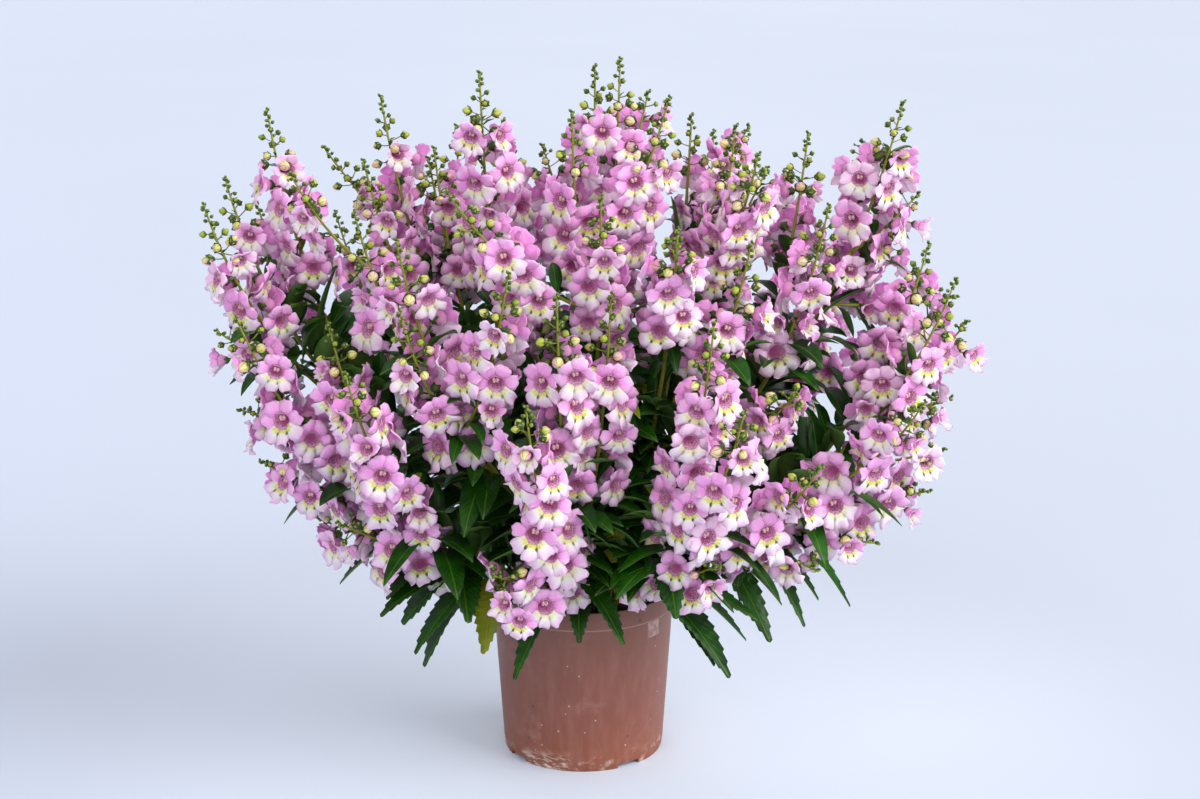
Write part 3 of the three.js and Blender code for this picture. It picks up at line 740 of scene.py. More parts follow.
def open_views(places, blockers, facings=None):
    """From how many directions each place is seen with no flower in front."""
    views = np.zeros(len(places), int)
    turns = [2 * math.pi * i / VIEW_TURNS for i in range(VIEW_TURNS)]
    for view in [unit(heading_of(turn) + height * UP) for turn in turns for height in VIEW_HEIGHTS]:
        ahead, blocks = places @ view, blockers @ view
        flat = places - ahead[:, None] * view
        flat_blocks = blockers - blocks[:, None] * view
        gaps = np.linalg.norm(flat_blocks[None] - flat[:, None], axis=2)
        in_front = blocks[None] > ahead[:, None] + BLOCKING_AHEAD
        free = ~((gaps < BLOCKING_RADIUS) & in_front).any(axis=1)
        if facings is not None:
            free &= facings @ view > LEAST_FACING
        views += free
    return views


def find_seen(blooms):
    """Marks the flowers that no side shows openly, which are made with fewer faces."""
    centres = np.array([bloom.centre for bloom in blooms])
    facings = np.array([bloom.facing for bloom in blooms])
    counts = open_views(centres, centres, facings)
    for bloom, count in zip(blooms, counts):
        bloom.seen = bool(count >= OPEN_VIEWS)


# Modelling: a primitive is shaped row by row in edit mode, then finished by modifiers.
def begin():
    bpy.ops.object.select_all(action="DESELECT")


def edit(obj):
    bpy.context.view_layer.objects.active = obj
    bpy.ops.object.mode_set(mode="EDIT")


def leave():
    bpy.ops.object.mode_set(mode="OBJECT")


def pick(obj, test):
    """In edit mode, selects the points whose place passes a test."""
    bpy.ops.mesh.select_all(action="DESELECT")
    form = bmesh.from_edit_mesh(obj.data)
    for vertex in form.verts:
        vertex.select = bool(test(vertex.co))
    form.select_flush(True)
    bmesh.update_edit_mesh(obj.data)


def near(value, other, room=1e-4):
    return abs(value - other) < room


def resize(factors, centre):
    bpy.ops.transform.resize(value=factors, center_override=centre)


def move(step):
    bpy.ops.transform.translate(value=step)


def finish_with(obj, kind, **settings):
    """Adds a modifier, sets it and applies it."""
    bpy.context.view_layer.objects.active = obj
    modifier = obj.modifiers.new(kind, kind)
    for name, value in settings.items():
        setattr(modifier, name, value)
    bpy.ops.object.modifier_apply(modifier=modifier.name)


def mark(obj, name, values):
    """Writes one number for each point of a mesh."""
    attribute = obj.data.attributes.new(name, "FLOAT", "POINT")
    attribute.data.foreach_set("value", np.asarray(values, np.float32))


class Master:
    """A modelled shape read into arrays, to be copied."""

    def __init__(self, obj):
        mesh = obj.data
        self.points = np.empty(len(mesh.vertices) * 3, np.float32)
        mesh.vertices.foreach_get("co", self.points)
        self.points = self.points.reshape(-1, 3).astype(float)
        self.corners = np.empty(len(mesh.loops), np.int32)
        mesh.loops.foreach_get("vertex_index", self.corners)
        self.sizes = np.empty(len(mesh.polygons), np.int32)
        mesh.polygons.foreach_get("loop_total", self.sizes)
        self.part = np.zeros(len(self.points))
        if "part" in mesh.attributes:
            part = np.empty(len(self.points), np.float32)
            mesh.attributes["part"].data.foreach_get("value", part)
            self.part = part.astype(float)
        bpy.data.objects.remove(obj)
        bpy.data.meshes.remove(mesh)


def join(objects, name):
    begin()
    for obj in objects:
        obj.select_set(True)
    bpy.context.view_layer.objects.active = objects[0]
    bpy.ops.object.join()
    objects[0].name = name
    return objects[0]


FRONT, BACK, ANTHER = 0.0, 1.0, 2.0


def thicken(obj, thickness, sheet=FRONT, far_side=BACK):
    """Gives a sheet its thickness, and marks its own side and the new one."""
    count = len(obj.data.vertices)
    finish_with(obj, "SOLIDIFY", thickness=thickness, offset=-1)
    mark(obj, "part", [sheet] * count + [far_side] * (len(obj.data.vertices) - count))


# The lobes of a flower, as rows from the throat outwards. A row is its distance from the middle,
# half its width, and how far forward its edge and middle lie.
UPPER_LOBE = ((4.3, 4.0, -0.4, -0.1), (8.2, 6.0, 0.8, 1.7), (11.6, 6.0, 0.7, 1.5), (13.8, 3.6, 0.0, 0.3))
SIDE_LOBE = ((5.3, 3.4, -0.4, -0.1), (9.0, 5.2, 0.2, 1.0), (12.4, 5.2, 0.0, 0.8), (14.5, 2.8, -0.8, -0.5))
LOWER_LOBE = (
    (4.6, 3.2, 0.0, 0.4), (7.9, 3.1, 1.1, 1.9), (11.0, 4.8, 1.5, 2.4), (14.1, 5.1, 0.7, 1.6),
    (16.4, 3.6, -0.1, 0.2))

# Each lobe's turn from the top, its rows, and how far it lies in front of its neighbours.
LOBES = (
    (27, UPPER_LOBE, 0.4), (-28, UPPER_LOBE, -0.2), (90, SIDE_LOBE, -0.5), (-90, SIDE_LOBE, -0.5),
    (136, LOWER_LOBE, 0.0), (-136, LOWER_LOBE, 0.0), (180, LOWER_LOBE, 0.6),
)


def model_lobe(turn, rows, ahead, levels):
    """One petal lobe: a small grid set out row by row, cupped, smoothed and given its thickness."""
    begin()
    bpy.ops.mesh.primitive_grid_add(x_subdivisions=2, y_subdivisions=len(rows) - 1, size=1)
    lobe = bpy.context.object
    edit(lobe)
    for i, (distance, half, edge, middle) in enumerate(rows):
        level = -0.5 + i / (len(rows) - 1)
        pick(lobe, lambda co: near(co.y, level))
        resize((2 * half, 1, 1), (0, level, 0))
        move((0, distance - level, edge + ahead * i / (len(rows) - 1)))
        pick(lobe, lambda co: near(co.y, distance) and near(co.x, 0))
        move((0, 0, middle - edge))
    leave()
    if levels:
        finish_with(lobe, "SUBSURF", levels=levels, render_levels=levels)
    thicken(lobe, PETAL_THICKNESS)
    lobe.rotation_euler.z = math.radians(turn)
    bpy.ops.object.transform_apply(rotation=True)
    return lobe


# The throat's rings behind its mouth: depth, half width, half height and drop.
THROAT_RINGS = ((3.4, 5.7, 5.0, 0.2), (THROAT_DEPTH, 2.4, 2.2, 0.6))


def model_throat():
    """The round sac behind the petals, open at its mouth."""
    begin()
    bpy.ops.mesh.primitive_circle_add(vertices=10, radius=1)
    throat = bpy.context.object
    edit(throat)
    bpy.ops.mesh.select_all(action="SELECT")
    resize((THROAT_WIDTH, THROAT_HEIGHT, 1), (0, 0, 0))
    width, height, depth, drop = THROAT_WIDTH, THROAT_HEIGHT, 0.0, 0.0
    for ring_depth, ring_width, ring_height, ring_drop in THROAT_RINGS:
        bpy.ops.mesh.extrude_region_move(
            TRANSFORM_OT_translate={"value": (0, drop - ring_drop, depth - ring_depth)})
        resize((ring_width / width, ring_height / height, 1), (0, -ring_drop, -ring_depth))
        width, height, depth, drop = ring_width, ring_height, ring_depth, ring_drop
    bpy.ops.mesh.edge_face_add()
    bpy.ops.mesh.select_all(action="SELECT")
    bpy.ops.mesh.normals_make_consistent(inside=False)
    leave()
    thicken(throat, PETAL_THICKNESS, BACK, FRONT)
    return throat


def model_anther(side):
    """One of the two pale anthers under the roof of the throat."""
    begin()
    bpy.ops.mesh.primitive_ico_sphere_add(subdivisions=1, radius=1)
    anther = bpy.context.object
    edit(anther)
    bpy.ops.mesh.select_all(action="SELECT")
    resize((1.3, 2.1, 1.2), (0, 0, 0))
    move((1.1 * side, 1.5, -1.9))
    leave()
    mark(anther, "part", [ANTHER] * len(anther.data.vertices))
    return anther


def model_bloom(levels):
    """A whole flower. Those deep in the bush are made with no smoothing, and fewer faces."""
    parts = [model_lobe(turn, rows, ahead, levels) for turn, rows, ahead in LOBES]
    parts.append(model_throat())
    if levels:
        parts += [model_anther(side) for side in (-1, 1)]
    return Master(join(parts, "bloom"))


def model_calyx():
    """The small green cup behind a flower or bud, with five pointed sepals."""
    begin()
    bpy.ops.mesh.primitive_cylinder_add(vertices=10, radius=1, depth=1, location=(0, 0, 0.5))
    calyx = bpy.context.object
    bpy.ops.object.transform_apply(location=True)
    edit(calyx)
    pick(calyx, lambda co: co.z < 0.5)
    resize((0.32, 0.32, 1), (0, 0, 0))
    pick(calyx, lambda co: co.z > 0.5)
    resize((0.92, 0.92, 1), (0, 0, 1))
    tips = [2 * math.pi * i / 5 for i in range(5)]
    pick(calyx, lambda co: co.z > 0.5 and max(
        co.x * math.sin(a) + co.y * math.cos(a) for a in tips) > 0.9)
    resize((1.3, 1.3, 1), (0, 0, 1))
    move((0, 0, 0.9))
    leave()
    return Master(calyx)


def model_bud(levels):
    """A globe-shaped bud, drawn out to a blunt beak."""
    begin()
    bpy.ops.mesh.primitive_ico_sphere_add(subdivisions=levels, radius=1)
    bud = bpy.context.object
    edit(bud)
    pick(bud, lambda co: co.z > 0.75)
    resize((0.72, 0.72, 1), (0, 0, 1))
    move((0, -0.12, 0.22))
    leave()
    return Master(bud)


def model_rod(sides, rings):
    """A round stem one long and one in radius, cut into rings."""
    begin()
    bpy.ops.mesh.primitive_cylinder_add(vertices=sides, radius=1, depth=1, location=(0, 0, 0.5))
    rod = bpy.context.object
    bpy.ops.object.transform_apply(location=True)
    edit(rod)
    bpy.ops.mesh.select_all(action="DESELECT")
    form = bmesh.from_edit_mesh(rod.data)
    for one in form.edges:
        one.select = abs(one.verts[0].co.z - one.verts[1].co.z) > 0.5
    bmesh.update_edit_mesh(rod.data)
    bpy.ops.mesh.subdivide(number_cuts=rings)
    leave()
    return Master(rod)


# Leaves and bracts: their rows of faces, thickness and how far their sides are lifted, as a share
# of half their width, and from where on a leaf is toothed, how wide a tooth is and how far it leans
LEAF_ROWS = 26
INNER_LEAF_ROWS = 8
LEAF_THICKNESS = 0.6
LEAF_LIFT = 0.24
TOOTH_START = 0.2
TOOTH_WIDTH = 1.2
TOOTH_LEAN = 0.027
BRACT_HALVES = (0.08, 0.5, 0.04)
BRACT_LIFT = 0.35
BRACT_THICKNESS = 0.05


def leaf_half_width(share):
    """Half of a blade's width along its length: a narrow stalk, then a lance shape."""
    stalk = 0.045
    blade = max(0.0, (share - 0.1) / 0.9)
    shape = 2.6 * blade ** 0.62 * (1 - blade) ** 0.86
    return stalk * (1 - 0.7 * share) + 0.47 * shape


def model_blade(halves, lift, thickness, toothed=False):
    """A blade one long, from half its width at even steps along it, with its sides lifted. Where it
    is toothed, every second row steps out to a tooth."""
    rows = len(halves) - 1
    begin()
    bpy.ops.mesh.primitive_grid_add(x_subdivisions=2, y_subdivisions=rows, size=1)
    blade = bpy.context.object
    edit(blade)
    pick(blade, lambda co: True)
    move((0, 0.5, 0))
    for i, half in enumerate(halves):
        level = i / rows
        pick(blade, lambda co: near(co.y, level))
        resize((2 * half, 1, 1), (0, level, 0))
        pick(blade, lambda co: near(co.y, level) and abs(co.x) > 0.5 * half)
        move((0, 0, lift * half))
        if toothed and level > TOOTH_START and i % 2 and i < rows:
            resize((TOOTH_WIDTH, 1, 1), (0, level, 0))
            move((0, TOOTH_LEAN, 0))
    leave()
    thicken(blade, thickness)
    return Master(blade)


def model_leaf(rows, toothed):
    halves = [leaf_half_width(i / rows) for i in range(rows + 1)]
    return model_blade(halves, LEAF_LIFT, LEAF_THICKNESS / LEAF_LENGTH, toothed)


# Growth: the copies that make up one piece
class Growth:
    def __init__(self, name, materials):
        self.name = name
        self.materials = materials
        self.points = []
        self.corners = []
        self.sizes = []
        self.kinds = []
        self.place = []
        self.shade = []
        self.count = 0

    def add(self, master, points, kind, shade, place=None):
        """Adds a copy of a master at its own points. Shade is tint, age and part."""
        n = len(points)
        self.points.append(points)
        self.corners.append(master.corners + self.count)
        self.sizes.append(master.sizes)
        self.kinds.append(np.full(len(master.sizes), kind, np.int32))
        self.place.append(master.points if place is None else place)
        self.shade.append(np.column_stack((np.full(n, shade[0]), np.full(n, shade[1]), master.part)))
        self.count += n

    def build(self):
        mesh = bpy.data.meshes.new(self.name)
        points = np.concatenate(self.points) * MM
        corners = np.concatenate(self.corners)
        sizes = np.concatenate(self.sizes)
        starts = np.concatenate(([0], np.cumsum(sizes)[:-1]))
        mesh.vertices.add(len(points))
        mesh.vertices.foreach_set("co", points.astype(np.float32).ravel())
        mesh.loops.add(len(corners))
        mesh.loops.foreach_set("vertex_index", corners.astype(np.int32))
        mesh.polygons.add(len(sizes))
        mesh.polygons.foreach_set("loop_start", starts.astype(np.int32))
        mesh.polygons.foreach_set("material_index", np.concatenate(self.kinds))
        mesh.update(calc_edges=True)
        for name, rows in (("place", self.place), ("shade", self.shade)):
            attribute = mesh.attributes.new(name, "FLOAT_VECTOR", "POINT")
            attribute.data.foreach_set("vector", np.concatenate(rows).astype(np.float32).ravel())
        mesh.validate()
        mesh.shade_smooth()
        piece = bpy.data.objects.new(self.name, mesh)
        bpy.context.scene.collection.objects.link(piece)
        for material in self.materials:
            mesh.materials.append(material)
        return piece


def settle(piece, node):
    """The piece moves with the plant and stands for its node, whose part is hidden."""
    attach(piece, "root")
    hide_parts(node)


# Copies
def framed(points, centre, right, up, forward):
    return centre + points[:, :1] * right + points[:, 1:2] * up + points[:, 2:] * forward


def frame_toward(forward, roll=0.0):
    """Right and up for something that looks forward, rolled about its own axis."""
    side = np.cross(UP, forward)
    right = unit(side) if np.linalg.norm(side) > 1e-3 else np.array((1.0, 0.0, 0.0))
    up = np.cross(forward, right)
    turned = math.cos(roll) * right + math.sin(roll) * up
    return turned, np.cross(forward, turned)


# A direction that no stem runs along
ROD_SIDE_HINT = (0.31, 0.87, 0.38)


def rod_along(growth, master, kind, curve, radii, shade):
    """Bends a rod along a curve: points of its middle line, with a radius at each."""
    share = master.points[:, 2]
    steps = np.linspace(0, 1, len(curve))
    middle = np.column_stack([np.interp(share, steps, curve[:, k]) for k in range(3)])
    radius = np.interp(share, steps, radii)[:, None]
    slopes = np.gradient(curve, axis=0)
    along = np.column_stack([np.interp(share, steps, slopes[:, k]) for k in range(3)])
    along /= np.linalg.norm(along, axis=1)[:, None]
    side = np.cross(along, ROD_SIDE_HINT)
    side /= np.linalg.norm(side, axis=1)[:, None]
    other = np.cross(along, side)
    points = middle + radius * (master.points[:, :1] * side + master.points[:, 1:2] * other)
    growth.add(master, points, kind, shade, place=points / 10)


def bezier(start, middle, end, count):
    share = np.linspace(0, 1, count)[:, None]
    return (1 - share) ** 2 * start + 2 * (1 - share) * share * middle + share ** 2 * end


def waves(angle, count, draw):
    """So many waves round a flower, which start anywhere."""
    return np.sin(count * angle + any_turn(draw))


def shaped_bloom(points, draw, fold):
    """A flower's points, with its lobes folded forward by an angle and a little uneven."""
    x, y, z = points.T
    radius = np.hypot(x, y)
    angle = np.arctan2(x, y)
    lobe = np.clip(radius - THROAT_WIDTH, 0, None)
    lean = fold + 0.2 * waves(angle, 1, draw)
    lean += 0.22 * waves(angle, 3, draw)
    ripple = 1.1 * (lobe / 8) ** 2 * waves(angle, 7, draw)
    ripple += 0.9 * (lobe / 8) ** 2 * waves(angle, 13, draw)
    longer = 1 + 0.07 * waves(angle, 4, draw)
    longer += 0.05 * waves(angle, 19, draw)
    reach = np.where(lobe > 0, THROAT_WIDTH + lobe * np.cos(lean) * longer, radius)
    length = 1 + 0.06 * waves(angle, 2, draw)
    return np.column_stack((
        reach * np.sin(angle),
        reach * np.cos(angle) * length,
        z + lobe * np.sin(lean) + ripple,
    ))


# A flower's stalk and the green cup behind it: the stalk's radius, the cup's radius and depth as a
# share of it, and how far it lies behind the throat
STALK_RADIUS = 0.5
CALYX_RADIUS = 3.7
CALYX_DEPTH = 0.6
CALYX_BEHIND = 2.7

# Buds: the stalk's radius, how much longer than wide a bud is, how far its cup is wider than it and
# lies behind it, and up to which radius it is made with few faces and has no cup
BUD_STALK_RADIUS = 0.42
BUD_LENGTH = 1.12
BUD_CALYX_RADIUS = 1.16
BUD_CALYX_BEHIND = 1.15
TINY_BUD = 1.9
BARE_BUD = 1.45

# How old each green part looks, from fresh green at 0 to brown at 1
CALYX_AGE = 0.03
RACHIS_AGE = 0.5
STALK_AGE = 0.75
BUD_STALK_AGE = 0.6
BRANCH_AGE = 0.6
TRUNK_AGE = 0.9

PETAL, GREEN, BUD = 0, 1, 2


def add_bloom(growth, shapes, path, bloom, draw, fold, size, pale):
    """A flower with its calyx and stalk. Returns where the stalk leaves the rachis."""
    right, up = frame_toward(bloom.facing, 0.7 * (draw.random() - 0.5))
    master = shapes["bloom"] if bloom.seen else shapes["inner bloom"]
    points = shaped_bloom(master.points, draw, fold) * size
    shade = (draw.random(), pale)
    growth.add(master, framed(points, bloom.centre, right, up, bloom.facing), PETAL, shade,
               master.points / 10)
    back = bloom.centre - (THROAT_DEPTH + CALYX_BEHIND) * size * bloom.facing - 0.6 * size * up
    foot = path.point(max(0.0, min(path.length, bloom.base)))
    add_calyx(growth, shapes, back, bloom.facing, CALYX_RADIUS * size, draw)
    middle = (foot + back) / 2 + 2.2 * bloom.toward - 1.2 * UP
    curve = bezier(foot, middle, back + 0.6 * bloom.facing, 6)
    radii = [STALK_RADIUS] * len(curve)
    rod_along(growth, shapes["stalk"], GREEN, curve, radii, (draw.random(), STALK_AGE))
    return foot


def add_calyx(growth, shapes, place, forward, radius, draw):
    right, up = frame_toward(forward, any_turn(draw))
    points = shapes["calyx"].points * np.array((radius, radius, CALYX_DEPTH * radius))
    growth.add(shapes["calyx"], framed(points, place, right, up, forward), GREEN,
               (draw.random(), CALYX_AGE), shapes["calyx"].points / 3)


def add_bract(growth, shapes, foot, toward, length, draw):
    """The small leaf at the foot of a flower stalk."""
    rise = 0.9 - 0.9 * draw.random()
    tip = foot + length * unit(toward + rise * UP + 0.3 * heading_of(any_turn(draw)))
    add_leaf(growth, shapes["bract"], Leaf(foot, tip, 0.15 * length, 0.42 * length), GREEN, draw, 0.0)


def add_leaf(growth, master, leaf, kind, draw, twist=0.25):
    """Bends a blade along its rib."""
    x, y, z = master.points.T
    share = np.clip(y, 0, 1)
    rib = leaf.rib(share)
    ahead = leaf.rib(np.clip(share + 0.01, 0, 1.01)) - leaf.rib(share - 0.01)
    along = ahead / np.linalg.norm(ahead, axis=1)[:, None]
    flat = np.cross(leaf.tip - leaf.base, UP)
    across = unit(flat) if np.linalg.norm(flat) > 1e-3 else np.array((1.0, 0.0, 0.0))
    raised = np.cross(across, along)
    turn = (twist * (draw.random() - 0.5) * 2 + twist * (draw.random() - 0.5) * 3 * share)[:, None]
    side = np.cos(turn) * across + np.sin(turn) * raised
    up = np.cross(side, along)
    wave = 0.05 * leaf.width * np.sin(9 * y + any_turn(draw)) * np.abs(x) * 2
    points = rib + (x * leaf.width)[:, None] * side
    points += (1.6 * z * leaf.width + wave)[:, None] * up
    growth.add(master, points, kind, (draw.random(), leaf.yellow))


# Distances of the buds below a raceme's tip, as far as the bud zone and a little more reach.
BUD_STATIONS = (
    1.4, 2.7, 4.0, 5.4, 7.4, 10.2, 12.6, 15.8, 18.2, 21.6, 24.2, 27.8, 30.6, 34.4, 37.4, 41.4, 44.6)


def add_buds(growth, shapes, raceme, draw):
    """Buds in a spiral below the tip, tiny and green at first, then larger, cream and pink."""
    path = raceme.path
    spin = any_turn(draw)
    zone = raceme.bud_zone
    for i, below in enumerate(BUD_STATIONS):
        if below > zone + 4:
            break
        ripe = min(1.0, below / (zone + 2) + 0.16 * (draw.random() - 0.5))
        toward = path.across(path.length - below, spin + GOLDEN_ANGLE * i)
        radius = 1.25 + 2.1 * smooth(below, 4, zone + 6) * (0.8 + 0.4 * draw.random())
        reach = 1.9 + 8.6 * smooth(below, 3, 0.8 * zone) * (0.8 + 0.4 * draw.random())
        foot = path.point(path.length - below)
        forward = unit(toward + (0.7 - 0.7 * ripe + 0.4 * (draw.random() - 0.5)) * UP)
        centre = foot + reach * forward + 0.12 * reach * UP
        add_bud(growth, shapes, foot, centre, forward, radius, ripe, draw)
        if i % 2 or below < 6:
            add_bract(growth, shapes, foot, toward, 3.2 + 3.0 * ripe, draw)
    tip = path.points[-1]
    along = path.tangent(path.length)
    for i in range(4):
        toward = unit(path.across(path.length, spin + 1.6 * i) + 1.1 * along)
        place = tip + toward * 1.4 + along * 0.8 * i
        add_bud(growth, shapes, tip, place, toward, 1.3 - 0.1 * i, 0.0, draw)


def add_bud(growth, shapes, foot, centre, forward, radius, ripe, draw):
    """A bud with its calyx, on a stalk from its foot on the rachis."""
    right, up = frame_toward(forward, any_turn(draw))
    master = shapes["tiny bud"] if radius < TINY_BUD else shapes["bud"]
    points = master.points * radius * np.array((1, 1, BUD_LENGTH))
    growth.add(master, framed(points, centre, right, up, forward), BUD, (draw.random(), ripe))
    if radius < BARE_BUD:
        return
    back = centre - BUD_CALYX_BEHIND * radius * forward
    add_calyx(growth, shapes, back, forward, BUD_CALYX_RADIUS * radius, draw)
    if np.linalg.norm(back - foot) > 1.5:
        middle = (foot + back) / 2 - 0.8 * UP
        curve = bezier(foot, middle, back + 0.3 * forward, 5)
        radii = [BUD_STALK_RADIUS] * len(curve)
        rod_along(growth, shapes["stalk"], GREEN, curve, radii, (draw.random(), BUD_STALK_AGE))


# Shares of the flowers that are half open and that are faded, and how pale the faded ones are
HALF_OPEN_SHARE = 0.06
FADED_SHARE = 0.1
FADED_PALE = 0.55


def grow_raceme(growth, raceme, shapes, start):
    """The rachis from a start on its path, with its flowers and buds."""
    draw = random.Random(f"raceme {raceme.node}")
    path = raceme.path
    curve = np.array(path.stretch(start, path.length, 16))
    radii = np.linspace(RACHIS_RADIUS, RACHIS_TIP_RADIUS, len(curve))
    rod_along(growth, shapes["rachis"], GREEN, curve, radii, (draw.random(), RACHIS_AGE))
    for bloom in raceme.blooms:
        below = path.length - bloom.at
        opening = smooth(below - raceme.bud_zone, -8, 12)
        fold = 0.05 + 0.85 * (1 - opening) + 0.2 * (draw.random() - 0.5)
        size = bloom.size * (0.78 + 0.2 * opening)
        if draw.random() < HALF_OPEN_SHARE:
            fold, size = 0.9, 0.8 * size
        pale = (0.15 + 0.5 * (1 - opening)) * draw.random()
        pale += FADED_PALE if draw.random() < FADED_SHARE else 0
        foot = add_bloom(growth, shapes, path, bloom, draw, fold, size, pale)
        add_bract(growth, shapes, foot, bloom.toward, 5 + 4 * draw.random(), draw)
    add_buds(growth, shapes, raceme, draw)


def make_racemes(spray, shapes, finishes):
    """A piece for each raceme of a spray with its side raceme, and one for all its low racemes."""
    materials = [finishes["petal"], finishes["green"], finishes["bud"]]
    for index, raceme in enumerate(spray.racemes):
        growth = Growth(f"{spray.name}_raceme_{index + 1}", materials)
        grow_raceme(growth, raceme, shapes, raceme.foot - 1)
        if raceme.side:
            grow_raceme(growth, raceme.side, shapes, 0.0)
        settle(growth.build(), raceme.node)
    if spray.fillers:
        growth = Growth(f"{spray.name}_low_racemes", materials)
        for raceme in spray.fillers:
            grow_raceme(growth, raceme, shapes, 0.0)
        piece = growth.build()
        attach(piece, "root")


# Further leaves along every stem: their pitch, where they stand on a short stem and how small they
# are there, how low they may hang beside the pot, between which heights they grow small, the turns
# that they try, their length, rise, droop and share of width, each with its spread, and their room
TRUNK_LEAF_PITCH = 9.0
BRANCH_LEAF_PITCH = 9.0
SHORT_STEM_LEAVES = (7.0, 19.0, 31.0)
SHORT_STEM_SCALE = 0.62
HANGING_LOW = 130.0
HIGH_LEAVES = (250.0, 390.0)
FURTHER_TURNS = (0.0, 0.5, -0.5, 1.1, -1.1)
FURTHER_LENGTH = (50.0, 18.0)
FURTHER_RISE = (0.5, 0.5)
FURTHER_DROOP = (0.1, 0.3)
FURTHER_WIDTH = (0.26, 0.08)
FURTHER_ROOM = 5.0

# More leaves that the photograph shows above the rim: spray, share of its trunk, tip, width
RIM_LEAVES = (
    ("front", 0.82, (-43, -100, 84), 19),
    ("left_front", 0.86, (-115, -78, 113), 25),
    ("left_front", 0.7, (-101, -88, 88), 26),
    ("left_front", 0.62, (-62, -79, 95), 21),
    ("left_front", 0.74, (-124, -62, 144), 13),
    ("left_front", 0.95, (-146, -58, 152), 13),
    ("front", 0.6, (14, -90, 126), 12),
    ("front", 0.7, (-26, -88, 128), 12),
    ("right_front", 0.75, (112, -84, 118), 12),
    ("right_front", 0.7, (84, -92, 90), 18),
    ("right_front", 0.9, (104, -94, 108), 15),
    ("right", 0.75, (151, -74, 128), 15),
    ("right", 0.9, (172, -70, 122), 14),
    ("right", 0.7, (176, -52, 150), 13),
)

# Leaves that close gaps in the bush: spray, number of the raceme, share of its stem, tip, width
GAP_LEAVES = (
    ("left", 1, 0.3, (-170, -14, 296), 17),
    ("left", 1, 0.2, (-186, -26, 262), 17),
    ("left", 2, 0.3, (-160, 6, 330), 16),
    ("left", 1, 0.4, (-196, -20, 240), 16),
    ("inner_left_front", 3, 0.5, (-158, -20, 310), 16),
    ("inner_right", 3, 0.35, (186, -4, 316), 17),
    ("inner_right", 3, 0.3, (172, -8, 286), 17),
    ("inner_right", 2, 0.25, (160, -20, 252), 17),
    ("right", 1, 0.3, (162, -22, 224), 16),
    ("right", 1, 0.5, (190, -16, 290), 16),
    ("centre_right", 1, 0.5, (58, 30, 372), 14),
    ("centre_right", 2, 0.4, (118, 14, 336), 14),
    ("front", 1, 0.25, (-48, -112, 150), 16),
    ("front", 2, 0.2, (26, -104, 140), 17),
    ("front", 1, 0.35, (-58, -106, 176), 16),
    ("front", 3, 0.25, (40, -108, 168), 17),
    ("front", 2, 0.35, (6, -112, 176), 16),
    ("right_front", 1, 0.15, (60, -110, 142), 16),
)


def keeps_off_pot(points):
    """True where no point of a rib comes near the pot's wall or the floor."""
    flat = np.hypot(points[:, 0], points[:, 1])
    inside = (flat < 55) & (points[:, 2] > SOIL_TOP + 3)
    return not np.any((points[:, 2] < HANGING_LOW) & ~inside)


def stays_in_box(points):
    limits = np.array([list(cad_box[0]), list(cad_box[1])]) / MM
    return bool(np.all(points > limits[0] - 3) and np.all(points < limits[1] + 3))


def add_leaves(spray, centres):
    """Gives a spray its further leaves, and marks those that show."""
    draw = random.Random(f"leaves {spray.name}")
    trunk = spray.trunk
    spots = []
    at = ROOT_DEPTH + 14
    turn = draw.random() * 3
    while at < trunk.length - 4:
        spots += [(trunk, at, turn, 1.0), (trunk, at, turn + math.pi, 1.0)]
        at += TRUNK_LEAF_PITCH
        turn += math.pi / 2
    for raceme in spray.racemes:
        at = 8.0
        while at < raceme.foot + 14:
            spots.append((raceme.path, at, any_turn(draw), 1 - 0.5 * at / raceme.path.length))
            at += BRANCH_LEAF_PITCH * (0.75 if at < 0.4 * raceme.foot else 1.0)
    sides = [raceme.side for raceme in spray.racemes if raceme.side]
    for raceme in spray.fillers + sides:
        spots += [(raceme.path, at, any_turn(draw), SHORT_STEM_SCALE) for at in SHORT_STEM_LEAVES]
    for path, at, turn, scale in spots:
        leaf = roomiest_leaf(path, at, turn, scale, centres, draw)
        if leaf:
            spray.leaves.append(leaf)
    for name, share, tip, width in RIM_LEAVES:
        if name == spray.name:
            base = trunk.point(ROOT_DEPTH + share * (trunk.length - ROOT_DEPTH))
            spray.leaves.append(Leaf(base, tip, HANGING_ARCH, width))
    for name, number, share, tip, width in GAP_LEAVES:
        if name == spray.name:
            raceme = spray.racemes[number - 1]
            base = raceme.path.point(share * raceme.path.length)
            spray.leaves.append(Leaf(base, tip, HANGING_ARCH, width))
    middles = np.array([leaf.rib(0.6)[0] for leaf in spray.leaves])
    counts = open_views(middles, centres)
    for leaf, count in zip(spray.leaves, counts):
        leaf.seen = bool(count >= LEAF_OPEN_VIEWS) or leaf.tip[2] < HANGING_LOW + 10


